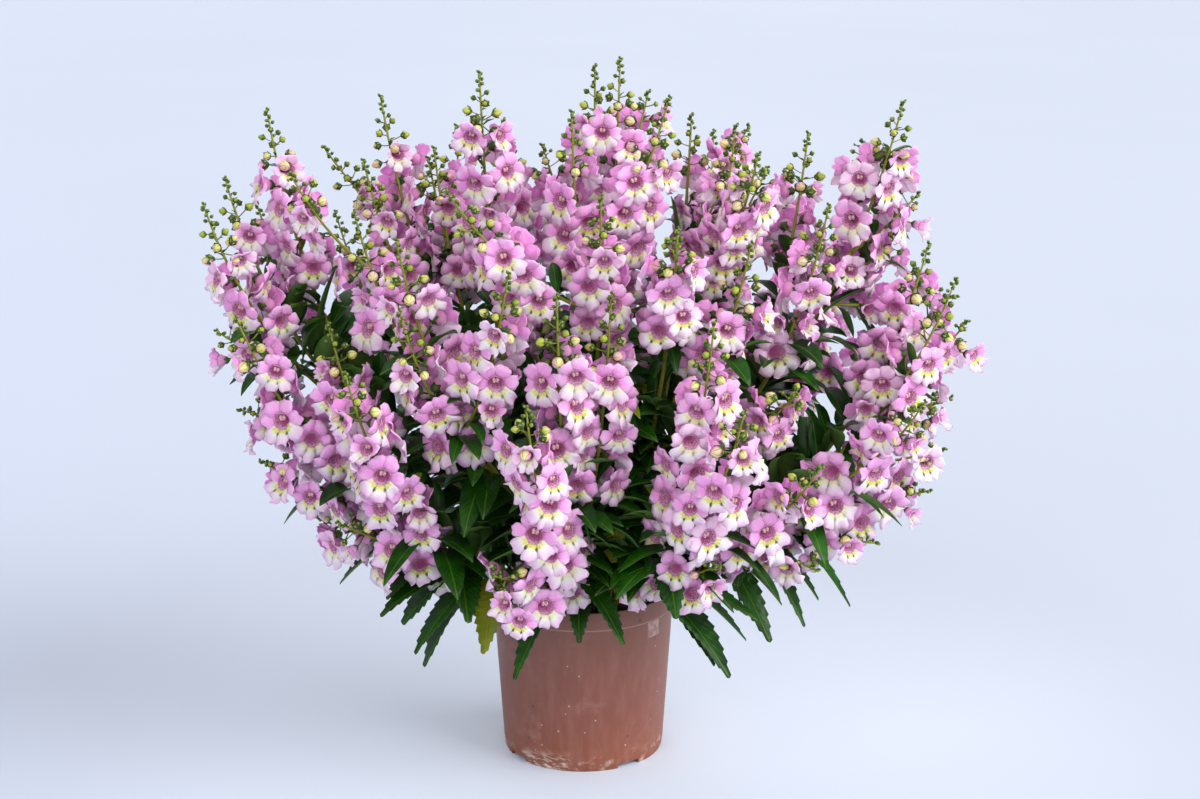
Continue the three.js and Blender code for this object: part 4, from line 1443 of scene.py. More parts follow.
def roomiest_leaf(path, at, turn, scale, centres, draw):
    """A leaf at a place on a stem, turned to the direction that keeps it clearest of flowers."""
    along = path.tangent(at)
    side = np.cross(along, path.plane)
    best = None
    base = path.point(at)
    scale *= 1 - 0.5 * smooth(base[2], *HIGH_LEAVES)
    for more in FURTHER_TURNS:
        toward = math.cos(turn + more) * path.plane + math.sin(turn + more) * side
        length = scale * varied(draw, *FURTHER_LENGTH)
        rise = varied(draw, *FURTHER_RISE)
        droop = varied(draw, *FURTHER_DROOP)
        tip = base + length * 0.93 * unit(toward + rise * along) - droop * length * UP
        leaf = Leaf(base, tip, 0.2 * length, varied(draw, *FURTHER_WIDTH) * length)
        points = leaf.rib(np.array((0.2, 0.4, 0.6, 0.8, 1.0)))
        if not keeps_off_pot(points) or not stays_in_box(points):
            continue
        gaps = np.linalg.norm(centres[None] - points[1:, None], axis=2)
        room = gaps.min()
        if best is None or room > best[0]:
            best = (room, leaf)
    if best is None or best[0] < FURTHER_ROOM:
        return None
    return best[1]


LEAF, STEM = 0, 1

# A few old leaves are yellow, and so are those with their tips near one place
YELLOW_SHARE = 0.03
YELLOW_TIP = (-64.0, -76.0, 92.0)
YELLOW_REACH = 6.0
OLD_YELLOW = 0.9


def make_foliage(spray, shapes, finishes):
    """A piece for the trunk and branches of a spray, with all its leaves."""
    growth = Growth(spray.name + "_foliage", [finishes["leaf"], finishes["green"]])
    draw = random.Random(f"foliage {spray.name}")
    trunk = spray.trunk
    curve = np.array(trunk.stretch(2, trunk.length, 20))
    radii = np.linspace(TRUNK_RADIUS, BRANCH_RADIUS, len(curve))
    rod_along(growth, shapes["trunk"], STEM, curve, radii, (draw.random(), TRUNK_AGE))
    for raceme in spray.racemes:
        curve = np.array(raceme.path.stretch(0, raceme.foot, 16))
        radii = np.linspace(BRANCH_RADIUS, RACHIS_RADIUS, len(curve))
        rod_along(growth, shapes["trunk"], STEM, curve, radii, (draw.random(), BRANCH_AGE))
    for leaf in spray.leaves:
        old = draw.random() < YELLOW_SHARE
        if old or np.linalg.norm(leaf.tip - YELLOW_TIP) < YELLOW_REACH:
            leaf.yellow = OLD_YELLOW
        add_leaf(growth, shapes["leaf" if leaf.seen else "inner leaf"], leaf, LEAF, draw)
    settle(growth.build(), spray.name + "_stems")


# Shaders
def srgb(red, green, blue):
    """A colour as seen, from 0 to 255, turned into the linear values that shaders take."""
    values = [c / 255 for c in (red, green, blue)]
    linear = [c / 12.92 if c <= 0.04045 else ((c + 0.055) / 1.055) ** 2.4 for c in values]
    return (*linear, 1.0)


class Nodes:
    """A node tree that is written as a list of steps."""

    def __init__(self, tree):
        self.tree = tree

    def add(self, kind, inputs=None, **settings):
        node = self.tree.nodes.new(kind)
        for name, value in settings.items():
            setattr(node, name, value)
        for name, value in (inputs or {}).items():
            self.feed(node.inputs[name], value)
        return node

    def feed(self, socket, value):
        if isinstance(value, bpy.types.NodeSocket):
            self.tree.links.new(value, socket)
        else:
            socket.default_value = value

    def math(self, operation, first, second=0.0):
        return self.add("ShaderNodeMath", {0: first, 1: second}, operation=operation).outputs[0]

    def product(self, first, *factors):
        for factor in factors:
            first = self.math("MULTIPLY", first, factor)
        return first

    def between(self, value, low, high, start=0.0, end=1.0):
        """Where a value lies between two limits, smoothly from start to end."""
        node = self.add("ShaderNodeMapRange", {
            "Value": value, "From Min": low, "From Max": high, "To Min": start, "To Max": end,
        }, interpolation_type="SMOOTHSTEP")
        return node.outputs["Result"]

    def within(self, value, limits, fades):
        """One between two limits in millimetres, with a fade inside each."""
        low, high = limits
        rise = self.between(value, low * MM, (low + fades[0]) * MM)
        fall = self.between(value, high * MM, (high - fades[1]) * MM)
        return self.product(rise, fall)

    def mix(self, factor, first, second):
        node = self.add("ShaderNodeMix", data_type="RGBA")
        self.feed(node.inputs["Factor"], factor)
        self.feed(node.inputs[6], first)
        self.feed(node.inputs[7], second)
        return node.outputs[2]

    def vector(self, operation, first, second=(0, 0, 0)):
        node = self.add("ShaderNodeVectorMath", {0: first, 1: second}, operation=operation)
        return node.outputs["Value" if operation in ("DISTANCE", "LENGTH") else "Vector"]

    def combine(self, x, y=0.0, z=0.0):
        return self.add("ShaderNodeCombineXYZ", {0: x, 1: y, 2: z}).outputs[0]

    def specks(self, place, scale, size):
        """One inside small round specks, each in a cell of its own, and zero outside."""
        cells = self.add("ShaderNodeTexVoronoi", {"Vector": place, "Scale": scale})
        return self.math("LESS_THAN", cells.outputs["Distance"], size)

    def noise(self, place, scale, detail=3.0, roughness=0.5):
        node = self.add("ShaderNodeTexNoise", {
            "Vector": place, "Scale": scale, "Detail": detail, "Roughness": roughness})
        return node.outputs["Fac"]

    def attribute(self, name):
        return self.add("ShaderNodeAttribute", attribute_name=name, attribute_type="GEOMETRY")

    def split(self, vector):
        return self.add("ShaderNodeSeparateXYZ", {0: vector}).outputs

    def object_place(self):
        return self.add("ShaderNodeTexCoord").outputs["Object"]


def new_finish(name, **constants):
    """A material with its own Principled shader, and the constants set on its sockets."""
    material = bpy.data.materials.new(name)
    material.use_nodes = True
    nodes = Nodes(material.node_tree)
    shader = material.node_tree.nodes["Principled BSDF"]
    for socket, value in constants.items():
        shader.inputs[socket.replace("_", " ")].default_value = value
    return material, nodes, shader


def make_mottle_group():
    """Uneven growth or wear: a mask of soft patches, and a fine relief over them."""
    tree = bpy.data.node_groups.new("patches and grain", "ShaderNodeTree")
    tree.interface.new_socket("Place", in_out="INPUT", socket_type="NodeSocketVector")
    tree.interface.new_socket("Patch Scale", in_out="INPUT", socket_type="NodeSocketFloat")
    tree.interface.new_socket("Grain Scale", in_out="INPUT", socket_type="NodeSocketFloat")
    tree.interface.new_socket("Patches", in_out="OUTPUT", socket_type="NodeSocketFloat")
    tree.interface.new_socket("Grain", in_out="OUTPUT", socket_type="NodeSocketFloat")
    nodes = Nodes(tree)
    given = nodes.add("NodeGroupInput").outputs
    patches = nodes.noise(given["Place"], given["Patch Scale"], 3.0, 0.6)
    grain = nodes.noise(given["Place"], given["Grain Scale"], 2.0, 0.5)
    result = nodes.add("NodeGroupOutput")
    nodes.feed(result.inputs["Patches"], nodes.between(patches, 0.3, 0.7))
    nodes.feed(result.inputs["Grain"], grain)
    return tree


def mottle(nodes, group, place, patch_scale, grain_scale):
    node = nodes.add("ShaderNodeGroup")
    node.node_tree = group
    nodes.feed(node.inputs["Place"], place)
    nodes.feed(node.inputs["Patch Scale"], patch_scale)
    nodes.feed(node.inputs["Grain Scale"], grain_scale)
    return node.outputs["Patches"], node.outputs["Grain"]


def raise_relief(nodes, shader, height, strength, distance):
    bump = nodes.add("ShaderNodeBump", {"Height": height, "Strength": strength, "Distance": distance})
    nodes.feed(shader.inputs["Normal"], bump.outputs["Normal"])


# Painted shade in the two pits of a flower's lip, drawn as two dark spots: the middle of one, in
# centimetres, once the height is squashed, so that the spots are longer than wide
PIT_SHADE_PLACE = (0.34, -0.59, 0.0)
PIT_SHADE_SQUASH = 0.7


def petal_finish(group):
    """Pink above and white below, with pink ends, a mottled purple throat, a yellow-green fringe, and
    painted shade as two dark spots in the pits of the lip.
    Place is the spot on the unbent flower in centimetres, from the middle of its mouth."""
    material, nodes, shader = new_finish(
        "petal", Roughness=0.55, Specular_IOR_Level=0.3, Subsurface_Weight=0.5,
        Subsurface_Radius=(1.0, 0.6, 0.9), Subsurface_Scale=0.002, Sheen_Weight=0.15)
    place = nodes.attribute("place").outputs["Vector"]
    x, y, z = nodes.split(place)
    tint, pale, part = nodes.split(nodes.attribute("shade").outputs["Vector"])
    world = nodes.object_place()
    patches, grain = mottle(nodes, group, world, 120.0, 1500.0)
    square = nodes.math("ADD", nodes.product(x, x), nodes.product(y, y))
    radius = nodes.math("SQRT", square)
    angle = nodes.math("ARCTAN2", x, y)
    side = nodes.math("ABSOLUTE", angle)
    streak_place = nodes.combine(nodes.product(angle, 9.0), radius)
    streaks = nodes.noise(streak_place, 2.2, 2.0)

    # The pink upper lobes and the white lip with its pink ends
    upper = nodes.mix(nodes.between(radius, 0.5, 1.25), srgb(238, 118, 202), srgb(250, 178, 230))
    upper = nodes.mix(nodes.product(tint, 0.5), upper, srgb(242, 138, 210))
    upper = nodes.mix(nodes.product(nodes.between(streaks, 0.45, 0.7), 0.4), upper, srgb(252, 212, 240))
    lower = nodes.mix(nodes.between(radius, 0.9, 1.6), srgb(231, 223, 224), srgb(241, 176, 220))
    lower = nodes.mix(nodes.product(patches, 0.5), lower, srgb(230, 200, 220))
    cream = nodes.product(nodes.between(radius, 1.15, 0.65), 0.6)
    lower = nodes.mix(cream, lower, srgb(246, 238, 190))
    lip = nodes.between(side, 1.8, 2.06)
    colour = nodes.mix(lip, upper, lower)
    colour = nodes.mix(nodes.product(pale, 0.6), colour, srgb(252, 238, 244))

    # The broken yellow-green fringe round the lower half of the throat
    teeth = nodes.math("PINGPONG", nodes.product(angle, 2.6), 0.5)
    uneven = nodes.product(nodes.noise(place, 30.0, 2.0), 0.3)
    fringe_edge = nodes.math("ADD", nodes.math("ADD", 0.54, uneven), nodes.product(teeth, 0.26))
    near_throat = nodes.between(nodes.math("SUBTRACT", radius, fringe_edge), 0.18, 0.02)
    broken = nodes.between(nodes.noise(streak_place, 1.3, 3.0, 0.7), 0.42, 0.5, 0.15, 1.0)
    fringe = nodes.product(near_throat, broken, nodes.between(side, 1.95, 2.3))
    fringe = nodes.product(fringe, nodes.between(tint, 0.05, 0.75, 0.4, 1.0))
    colour = nodes.mix(fringe, colour, srgb(204, 200, 52))

    # Painted shade: two dark ragged spots on the lip, where its two pits lie in shade
    folded = nodes.combine(nodes.math("ABSOLUTE", x), nodes.product(y, PIT_SHADE_SQUASH))
    off_pit_shade = nodes.vector("DISTANCE", folded, PIT_SHADE_PLACE)
    ragged = nodes.product(nodes.noise(world, 700.0, 1.0), 0.12)
    spot = nodes.between(nodes.math("ADD", off_pit_shade, ragged), 0.19, 0.11)
    spot = nodes.product(spot, nodes.between(tint, 0.0, 0.7, 0.35, 0.95))
    colour = nodes.mix(spot, colour, srgb(72, 70, 36))

    # The mottled throat, the backs of the petals and the anthers
    spots = nodes.between(nodes.noise(place, 13.0, 3.0, 0.7), 0.42, 0.6)
    throat = nodes.mix(spots, srgb(160, 74, 130), srgb(228, 176, 196))
    throat = nodes.mix(nodes.between(z, -0.3, -0.75), throat, srgb(186, 94, 146))
    colour = nodes.mix(nodes.between(radius, 0.66, 0.53), colour, throat)
    back = nodes.mix(lip, srgb(236, 148, 212), srgb(246, 214, 236))
    back = nodes.mix(nodes.between(z, -0.05, -0.3), back, srgb(222, 146, 190))
    colour = nodes.mix(nodes.between(part, 0.4, 0.6), colour, back)
    anther = nodes.mix(spots, srgb(200, 128, 156), srgb(234, 204, 190))
    colour = nodes.mix(nodes.between(part, 1.4, 1.6), colour, anther)
    nodes.feed(shader.inputs["Base Color"], colour)
    nodes.feed(shader.inputs["Roughness"], nodes.between(patches, 0.0, 1.0, 0.48, 0.62))
    raise_relief(nodes, shader, nodes.math("ADD", grain, streaks), 0.5, 0.0005)
    return material


def leaf_finish(group):
    """Glossy dark green with a paler rib, sunken veins and a grey-green back.
    Place is across the blade, from -0.5 to 0.5, and along it, from 0 to 1."""
    material, nodes, shader = new_finish("leaf", Roughness=0.34, Specular_IOR_Level=0.24)
    x, y, _ = nodes.split(nodes.attribute("place").outputs["Vector"])
    tint, yellow, part = nodes.split(nodes.attribute("shade").outputs["Vector"])
    patches, grain = mottle(nodes, group, nodes.object_place(), 60.0, 900.0)
    off_rib = nodes.math("ABSOLUTE", x)
    slant = nodes.math("SUBTRACT", y, nodes.product(off_rib, 0.55))
    vein = nodes.math("PINGPONG", nodes.product(slant, 11.0), 0.5)
    veins = nodes.between(vein, 0.1, 0.0)
    rib = nodes.between(off_rib, 0.035, 0.01)
    colour = nodes.mix(patches, srgb(14, 53, 2), srgb(35, 94, 5))
    colour = nodes.mix(nodes.product(tint, 0.6), colour, srgb(11, 43, 5))
    colour = nodes.mix(nodes.product(veins, 0.3), colour, srgb(64, 110, 26))
    colour = nodes.mix(nodes.product(rib, 0.5), colour, srgb(96, 128, 34))
    sallow = nodes.mix(patches, srgb(120, 130, 20), srgb(150, 150, 34))
    colour = nodes.mix(nodes.product(yellow, 0.9), colour, sallow)
    under = nodes.mix(patches, srgb(62, 96, 40), srgb(82, 116, 50))
    colour = nodes.mix(nodes.between(part, 0.4, 0.6), colour, under)
    nodes.feed(shader.inputs["Base Color"], colour)
    nodes.feed(shader.inputs["Roughness"], nodes.between(part, 0.4, 0.6, 0.34, 0.6))
    height = nodes.math("SUBTRACT", nodes.product(grain, 0.3), nodes.math("ADD", veins, rib))
    raise_relief(nodes, shader, height, 0.4, 0.0005)
    return material


def green_finish(group):
    """Stems, stalks, sepals and bracts. Age takes them from dark green to yellow-green and brown."""
    material, nodes, shader = new_finish("green stem", Roughness=0.5, Specular_IOR_Level=0.4)
    tint, age, _ = nodes.split(nodes.attribute("shade").outputs["Vector"])
    patches, grain = mottle(nodes, group, nodes.object_place(), 150.0, 1400.0)
    colour = nodes.mix(nodes.between(age, 0.0, 0.55), srgb(42, 74, 16), srgb(142, 144, 42))
    colour = nodes.mix(nodes.product(patches, 0.4), colour, srgb(94, 112, 28))
    brown = nodes.product(nodes.between(age, 0.54, 0.74), nodes.between(tint, 0.0, 1.0, 0.35, 0.9))
    colour = nodes.mix(brown, colour, srgb(78, 66, 38))
    nodes.feed(shader.inputs["Base Color"], colour)
    nodes.feed(shader.inputs["Roughness"], nodes.between(grain, 0.3, 0.7, 0.42, 0.6))
    raise_relief(nodes, shader, grain, 0.3, 0.0004)
    return material


def bud_finish(group):
    """Buds, green while small, then yellow-green, and cream flushed with pink when ripe."""
    material, nodes, shader = new_finish(
        "bud", Roughness=0.5, Specular_IOR_Level=0.35, Subsurface_Weight=0.15,
        Subsurface_Radius=(1.0, 0.8, 0.4), Subsurface_Scale=0.001)
    x, y, z = nodes.split(nodes.attribute("place").outputs["Vector"])
    tint, ripe, _ = nodes.split(nodes.attribute("shade").outputs["Vector"])
    patches, grain = mottle(nodes, group, nodes.object_place(), 300.0, 1600.0)
    young = nodes.mix(nodes.between(z, 0.0, 0.9), srgb(56, 86, 24), srgb(124, 144, 44))
    colour = nodes.mix(nodes.between(ripe, 0.25, 0.7), young, srgb(168, 178, 62))
    cream = nodes.mix(nodes.between(z, -0.5, 0.6), srgb(164, 174, 70), srgb(230, 220, 146))
    colour = nodes.mix(nodes.between(ripe, 0.6, 0.95), colour, cream)
    blotch = nodes.math("ADD", y, nodes.product(patches, 0.7))
    flush = nodes.product(nodes.between(ripe, 0.6, 0.95), nodes.between(blotch, 0.2, 0.6))
    flush = nodes.product(flush, nodes.between(tint, 0.1, 0.8, 0.25, 0.95))
    colour = nodes.mix(flush, colour, srgb(226, 152, 190))
    folds = nodes.math("PINGPONG", nodes.product(nodes.math("ARCTAN2", x, y), 0.8), 0.5)
    seam = nodes.product(nodes.between(folds, 0.13, 0.02), 0.7)
    colour = nodes.mix(seam, colour, srgb(110, 112, 44))
    nodes.feed(shader.inputs["Base Color"], colour)
    nodes.feed(shader.inputs["Roughness"], nodes.between(patches, 0, 1, 0.42, 0.6))
    raise_relief(nodes, shader, nodes.math("ADD", grain, folds), 0.4, 0.0005)
    return material


# Marks on the front of the pot: how high the pale step line lies, the sides of the scuffs at
# the foot, the sides and heights of the patch of residue, how widely each fades, and the size of
# a speck as a share of its cell
STEP_LINE_HEIGHT = 101.8
SCUFF_SIDES = (-46.0, -4.0)
SCUFF_FADE = (10.0, 12.0)
RESIDUE_SIDES = (42.5, 50.5)
RESIDUE_HEIGHTS = (89.5, 101.0)
RESIDUE_FADE = (0.7, 0.7)
SPECK_SIZE = 0.06


def pot_finish(group):
    """Thin moulded plastic: terracotta at the foot, greyer above, with streaks, scuffs and specks."""
    material, nodes, shader = new_finish("terracotta plastic", Roughness=0.5, Specular_IOR_Level=0.4)
    place = nodes.object_place()
    x, y, z = nodes.split(place)
    patches, grain = mottle(nodes, group, place, 22.0, 900.0)
    angle = nodes.math("ARCTAN2", x, y)
    streak_place = nodes.combine(nodes.product(angle, 4.0), 0.0, nodes.product(z, 18.0))
    streaks = nodes.noise(streak_place, 2.2, 5.0, 0.6)
    colour = nodes.mix(nodes.between(z, 0.0, 0.055), srgb(130, 71, 47), srgb(120, 70, 57))
    colour = nodes.mix(nodes.between(z, 0.045, 0.115), colour, srgb(121, 80, 69))
    pale_streaks = nodes.product(nodes.between(streaks, 0.35, 0.7), 0.4)
    colour = nodes.mix(pale_streaks, colour, srgb(147, 100, 88))
    colour = nodes.mix(nodes.product(patches, 0.3), colour, srgb(116, 66, 53))
    off_step = nodes.math("ABSOLUTE", nodes.math("SUBTRACT", z, STEP_LINE_HEIGHT * MM))
    step_line = nodes.product(nodes.between(off_step, 0.0009, 0.0003), 0.34)
    colour = nodes.mix(step_line, colour, srgb(196, 160, 148))

    # Scuffs and dust at the foot, and smudges
    front = nodes.math("LESS_THAN", y, 0.0)
    foot = nodes.between(z, 0.016, 0.003)
    scuffed = nodes.product(nodes.within(x, SCUFF_SIDES, SCUFF_FADE), front, foot)
    slanted = nodes.math("ADD", x, nodes.product(z, 1.4))
    stroke_place = nodes.combine(slanted, 0.0, nodes.product(z, 3.0))
    lime = nodes.between(nodes.noise(stroke_place, 130.0, 5.0, 0.7), 0.47, 0.62)
    colour = nodes.mix(nodes.product(lime, scuffed, 0.8), colour, srgb(222, 206, 196))
    dust = nodes.between(nodes.noise(place, 95.0, 5.0, 0.7), 0.5, 0.66)
    colour = nodes.mix(nodes.product(dust, foot, 0.55), colour, srgb(206, 184, 172))
    smudge = nodes.between(nodes.noise(place, 34.0, 6.0, 0.65), 0.56, 0.74)
    colour = nodes.mix(nodes.product(smudge, 0.3), colour, srgb(176, 136, 122))

    # A worn patch of residue, and specks
    sides = nodes.within(x, RESIDUE_SIDES, RESIDUE_FADE)
    heights = nodes.within(z, RESIDUE_HEIGHTS, RESIDUE_FADE)
    worn = nodes.between(nodes.noise(place, 240.0, 1.0), 0.35, 0.6, 0.2, 0.45)
    residue = nodes.product(sides, heights, front, worn)
    colour = nodes.mix(residue, colour, srgb(206, 178, 168))
    dark_specks = nodes.product(nodes.specks(place, 60.0, SPECK_SIZE), 0.75)
    colour = nodes.mix(dark_specks, colour, srgb(70, 52, 46))
    elsewhere = nodes.vector("ADD", place, (0.3, 0.1, 0.2))
    pale_specks = nodes.product(nodes.specks(elsewhere, 110.0, SPECK_SIZE), 0.6)
    colour = nodes.mix(pale_specks, colour, srgb(214, 190, 180))

    nodes.feed(shader.inputs["Base Color"], colour)
    rough = nodes.between(streaks, 0.3, 0.7, 0.42, 0.58)
    nodes.feed(shader.inputs["Roughness"], nodes.math("ADD", rough, nodes.product(foot, 0.12)))
    height = nodes.math("ADD", nodes.product(grain, 0.3), nodes.product(patches, 0.4))
    raise_relief(nodes, shader, height, 0.12, 0.0006)
    return material


def soil_finish(group):
    """Dark damp potting mix with paler fibres and bits."""
    material, nodes, shader = new_finish("potting mix", Roughness=0.9, Specular_IOR_Level=0.25)
    place = nodes.object_place()
    patches, grain = mottle(nodes, group, place, 160.0, 900.0)
    colour = nodes.mix(patches, srgb(34, 25, 20), srgb(66, 48, 36))
    fibres = nodes.product(nodes.between(grain, 0.62, 0.7), 0.6)
    colour = nodes.mix(fibres, colour, srgb(120, 94, 70))
    nodes.feed(shader.inputs["Base Color"], colour)
    raise_relief(nodes, shader, nodes.math("ADD", patches, grain), 0.8, 0.002)
    return material


def floor_finish(group):
    """Smooth pale studio floor, with painted shade towards the left and painted light round the pot."""
    material, nodes, shader = new_finish("studio floor", Roughness=0.75, Specular_IOR_Level=0.1)
    place = nodes.object_place()
    patches, _ = mottle(nodes, group, place, 0.5, 40.0)
    across, along, _ = nodes.split(place)
    colour = nodes.mix(patches, srgb(193, 199, 211), srgb(196, 202, 214))
    # Painted shade: the floor darker towards the left, away from the key light
    left = nodes.product(nodes.between(across, 0.25, -1.1), nodes.between(along, 3.0, -0.5, 0.45, 1.0))
    colour = nodes.mix(nodes.product(left, 0.6), colour, srgb(184, 193, 213))
    # Painted light: the floor paler round the pot, which lightens the plant's shadow there
    from_pot = nodes.vector("LENGTH", place)
    colour = nodes.mix(nodes.between(from_pot, 0.5, 0.06), colour, srgb(219, 226, 240))
    nodes.feed(shader.inputs["Base Color"], colour)
    return material


# Pot and mix
def model_pot():
    """The pot, drawn up ring by ring from the middle of its floor, with its notches and holes cut."""
    band = POT_HEIGHT - POT_BAND_HEIGHT
    wall_top = POT_RIM_RADIUS - POT_BAND_STEP
    floor_top = POT_FOOT_HEIGHT + POT_WALL
    foot_inner = POT_FOOT_RADIUS - POT_FOOT_WIDTH
    rings = (
        (foot_inner, POT_FOOT_HEIGHT), (foot_inner, 0.0), (POT_FOOT_RADIUS - 0.6, 0.0),
        (POT_FOOT_RADIUS, 1.2), (POT_FOOT_RADIUS + 0.7, 7.0),
        (wall_top - 0.2, band - 0.8), (POT_RIM_RADIUS - 0.1, band), (POT_RIM_RADIUS, POT_HEIGHT),
        (POT_RIM_RADIUS - POT_WALL, POT_HEIGHT), (wall_top - POT_WALL, band - 2),
        (POT_FOOT_RADIUS - POT_WALL + 0.3, floor_top), (2.0, floor_top),
    )
    begin()
    bpy.ops.mesh.primitive_circle_add(
        vertices=POT_SIDES, radius=2 * MM, fill_type="NGON", location=(0, 0, POT_FOOT_HEIGHT * MM))
    pot = bpy.context.object
    bpy.ops.object.transform_apply(location=True)
    edit(pot)
    bpy.ops.mesh.select_all(action="SELECT")
    radius, height = 2.0, POT_FOOT_HEIGHT
    bpy.ops.mesh.delete(type="ONLY_FACE")
    bpy.ops.mesh.select_all(action="SELECT")
    for ring_radius, ring_height in rings:
        bpy.ops.mesh.extrude_region_move(
            TRANSFORM_OT_translate={"value": (0, 0, (ring_height - height) * MM)})
        resize((ring_radius / radius, ring_radius / radius, 1), (0, 0, 0))
        radius, height = ring_radius, ring_height
    bpy.ops.mesh.edge_face_add()
    pick(pot, lambda co: near(co.z, POT_FOOT_HEIGHT * MM, 1e-6) and co.xy.length < 3 * MM)
    bpy.ops.mesh.edge_face_add()
    bpy.ops.mesh.select_all(action="SELECT")
    bpy.ops.mesh.normals_make_consistent(inside=False)
    leave()
    cut_pot(pot)
    finish_with(pot, "BEVEL", width=0.35 * MM, segments=2, limit_method="ANGLE", angle_limit=0.6)
    bpy.ops.object.shade_smooth_by_angle(angle=0.7)
    pot.name = "nursery_pot"
    return pot


def cut_pot(pot):
    cutters = []
    for i in range(NOTCH_COUNT):
        turn = math.radians(NOTCH_ANGLE + 360 * i / NOTCH_COUNT)
        place = (POT_FOOT_RADIUS - 1) * heading_of(turn) * MM
        begin()
        bpy.ops.mesh.primitive_cube_add(size=1, location=place, rotation=(0, 0, turn))
        notch = bpy.context.object
        notch.scale = (8 * MM, NOTCH_WIDTH * MM, (2 * POT_FOOT_HEIGHT - 0.4) * MM)
        cutters.append(notch)
    for i in range(DRAIN_COUNT):
        place = DRAIN_CIRCLE * heading_of(2 * math.pi * i / DRAIN_COUNT) * MM
        place[2] = (POT_FOOT_HEIGHT + POT_WALL / 2) * MM
        begin()
        bpy.ops.mesh.primitive_cylinder_add(
            vertices=24, radius=DRAIN_RADIUS * MM, depth=4 * POT_WALL * MM, location=place)
        cutters.append(bpy.context.object)
    cutter = join(cutters, "pot cuts")
    begin()
    pot.select_set(True)
    finish_with(pot, "BOOLEAN", operation="DIFFERENCE", solver="EXACT", object=cutter)
    bpy.data.objects.remove(cutter)


def make_pot(finishes):
    pot = model_pot()
    pot.data.materials.clear()
    pot.data.materials.append(finishes["pot"])
    settle(pot, "pot")


# The mix: its gap to the pot's wall at the foot, how much wider it is at the top, the rings of
# its lumpy top as shares of that, and the number of loose bits
SOIL_CLEAR = 0.9
SOIL_FLARE = 5.6
SOIL_RINGS = (0.94, 0.84, 0.72, 0.58, 0.42, 0.24, 0.08)
CHIP_COUNT = 320


def make_soil(finishes):
    """The mix: a lumpy top over a plain body, with loose bits of bark on it."""
    wall = POT_FOOT_RADIUS - POT_WALL - SOIL_CLEAR
    brim = wall + SOIL_FLARE
    begin()
    bpy.ops.mesh.primitive_cylinder_add(
        vertices=48, radius=1, depth=1, end_fill_type="NGON", location=(0, 0, 0.5))
    body = bpy.context.object
    bpy.ops.object.transform_apply(location=True)
    edit(body)
    pick(body, lambda co: co.z < 0.5)
    resize((wall, wall, 1), (0, 0, 0))
    move((0, 0, POT_FOOT_HEIGHT + POT_WALL + 0.3))
    pick(body, lambda co: near(co.z, 1))
    resize((brim, brim, 1), (0, 0, 0))
    move((0, 0, SOIL_TOP - 3))
    for share in SOIL_RINGS:
        bpy.ops.mesh.extrude_region_move(TRANSFORM_OT_translate={"value": (0, 0, 0)})
        picked = [v.co.xy.length for v in bmesh.from_edit_mesh(body.data).verts if v.select]
        shrink = brim * share / np.array(picked).max()
        resize((shrink, shrink, 1), (0, 0, 0))
    leave()
    master = Master(body)
    points = master.points.copy()
    top = points[:, 2] > SOIL_TOP - 4
    x, y = points[:, 0], points[:, 1]
    wave = np.sin(x / 5.1 + 1) * np.cos(y / 4.3) + np.sin((x + y) / 2.9)
    grains = np.random.default_rng(7).uniform(-0.7, 0.7, len(points))
    dome = smooth(brim - np.hypot(x, y), 0, 9) * 2.2
    points[:, 2] += np.where(top, dome + 0.55 * wave + grains, 0)
    growth = Growth("potting_mix_bed", [finishes["soil"]])
    growth.add(master, points, 0, (0, 0))
    begin()
    bpy.ops.mesh.primitive_ico_sphere_add(subdivisions=1, radius=1)
    chip = Master(bpy.context.object)
    draw = random.Random("bark chips")
    for _ in range(CHIP_COUNT):
        size = 0.7 + 1.9 * draw.random() ** 2
        spot = (wall + 2) * math.sqrt(draw.random()) * heading_of(any_turn(draw))
        spot[2] = SOIL_TOP + 0.4 * size - 1 + 1.6 * draw.random()
        right, up = frame_toward(unit(np.array([draw.gauss(0, 1) for _ in range(3)])))
        forward = np.cross(right, up)
        shape = chip.points * np.array((size, size * 0.6, size * (0.3 + 0.4 * draw.random())))
        growth.add(chip, framed(shape, spot, right, up, forward), 0, (0, 0))
    settle(growth.build(), "potting_mix")


# Stage
def make_floor(finishes):
    begin()
    bpy.ops.mesh.primitive_circle_add(vertices=96, radius=FLOOR_RADIUS, fill_type="NGON")
    floor = bpy.context.object
    floor.name = "floor"
    floor.data.materials.append(finishes["floor"])


# The sky's colour and strength, and each light: name, turn in degrees, strength and width in degrees
SKY = (238, 242, 252)
SKY_STRENGTH = 0.6
LIGHTS = (
    ("key", (62, 0, 70), 3.25, 54),
    ("fill", (60, 0, -8), 1.3, 60),
    ("back", (-50, 0, 20), 0.8, 50),
)


def make_lights():
    world = bpy.data.worlds.new("studio")
    bpy.context.scene.world = world
    world.use_nodes = True
    background = world.node_tree.nodes["Background"]
    background.inputs["Color"].default_value = srgb(*SKY)
    background.inputs["Strength"].default_value = SKY_STRENGTH
    for name, turn, strength, width in LIGHTS:
        light = bpy.data.lights.new(name, "SUN")
        light.energy = strength
        light.angle = math.radians(width)
        lamp = bpy.data.objects.new(name, light)
        lamp.rotation_euler = [math.radians(a) for a in turn]
        bpy.context.scene.collection.objects.link(lamp)


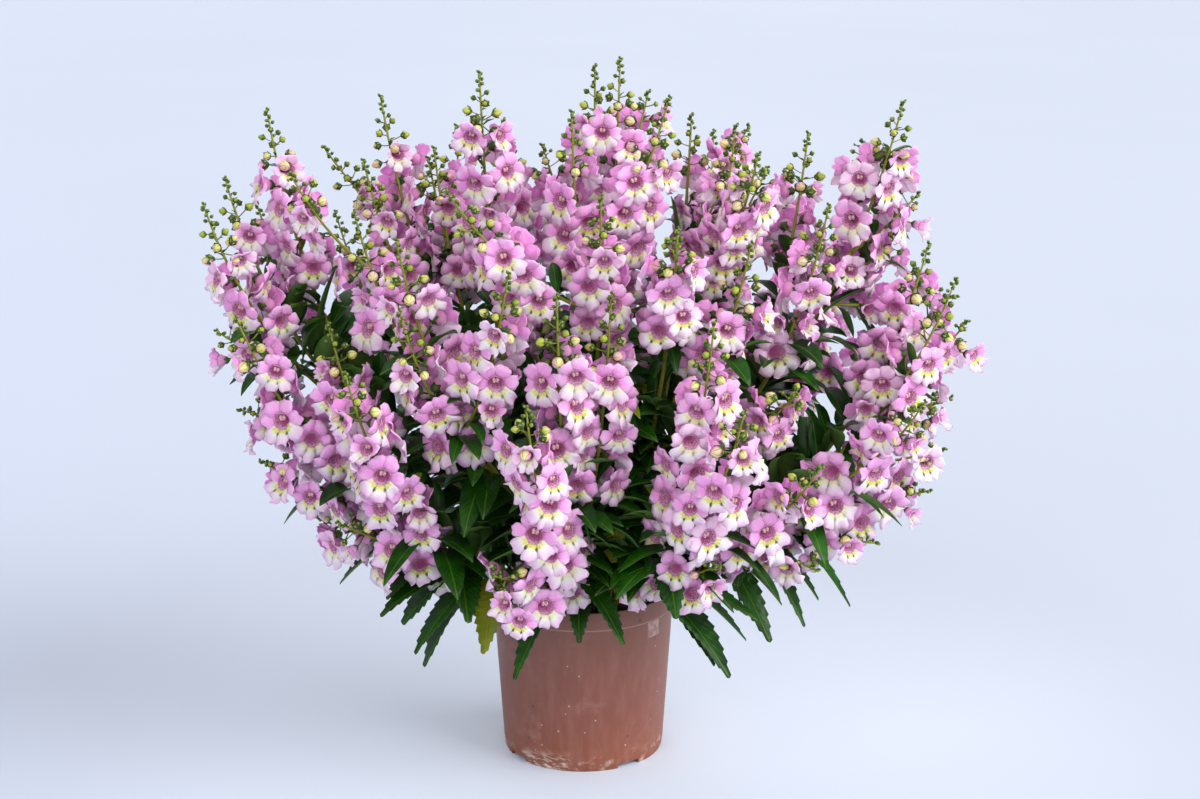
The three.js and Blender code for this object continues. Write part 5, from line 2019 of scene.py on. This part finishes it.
def make_camera():
    data = bpy.data.cameras.new("camera")
    data.lens = CAMERA_LENS
    data.sensor_width = CAMERA_SENSOR
    data.clip_start, data.clip_end = CAMERA_CLIP
    camera = bpy.data.objects.new("camera", data)
    camera.location = [c * MM for c in CAMERA_PLACE]
    camera.rotation_euler = (math.radians(CAMERA_PITCH), 0, 0)
    bpy.context.scene.collection.objects.link(camera)
    bpy.context.scene.camera = camera


def make_finishes():
    group = make_mottle_group()
    return {
        "petal": petal_finish(group),
        "leaf": leaf_finish(group),
        "green": green_finish(group),
        "bud": bud_finish(group),
        "pot": pot_finish(group),
        "soil": soil_finish(group),
        "floor": floor_finish(group),
    }


def make_shapes():
    return {
        "bloom": model_bloom(1),
        "inner bloom": model_bloom(0),
        "calyx": model_calyx(),
        "bud": model_bud(2),
        "tiny bud": model_bud(1),
        "leaf": model_leaf(LEAF_ROWS, True),
        "inner leaf": model_leaf(INNER_LEAF_ROWS, False),
        "bract": model_blade(BRACT_HALVES, BRACT_LIFT, BRACT_THICKNESS),
        "stalk": model_rod(4, 2),
        "rachis": model_rod(6, 11),
        "trunk": model_rod(8, 11),
    }


def grow_plant():
    """The sprays with all their racemes and flowers, and the middles of these flowers."""
    sprays = lay_out()
    racemes = [raceme for spray in sprays for raceme in spray.racemes]
    racemes += [raceme.side for raceme in racemes if raceme.side]
    for raceme in racemes:
        clear_spike(raceme)
    centres = [bloom.centre for raceme in racemes for bloom in raceme.blooms]
    add_shoots(sprays, centres)
    for raceme in racemes:
        add_blooms(raceme, centres)
    add_fillers(sprays, centres)
    racemes += [raceme for spray in sprays for raceme in spray.fillers]
    blooms = [bloom for raceme in racemes for bloom in raceme.blooms]
    draw = random.Random("facings")
    for bloom in blooms:
        turn_outward(bloom, draw)
    find_seen(blooms)
    return sprays, np.array(centres)


make_camera()
bpy.context.scene.view_settings.view_transform = "Standard"
finishes = make_finishes()
make_pot(finishes)
make_soil(finishes)
shapes = make_shapes()
sprays, bloom_centres = grow_plant()
for spray in sprays:
    add_leaves(spray, bloom_centres)
    make_racemes(spray, shapes, finishes)
    make_foliage(spray, shapes, finishes)
make_floor(finishes)
make_lights()
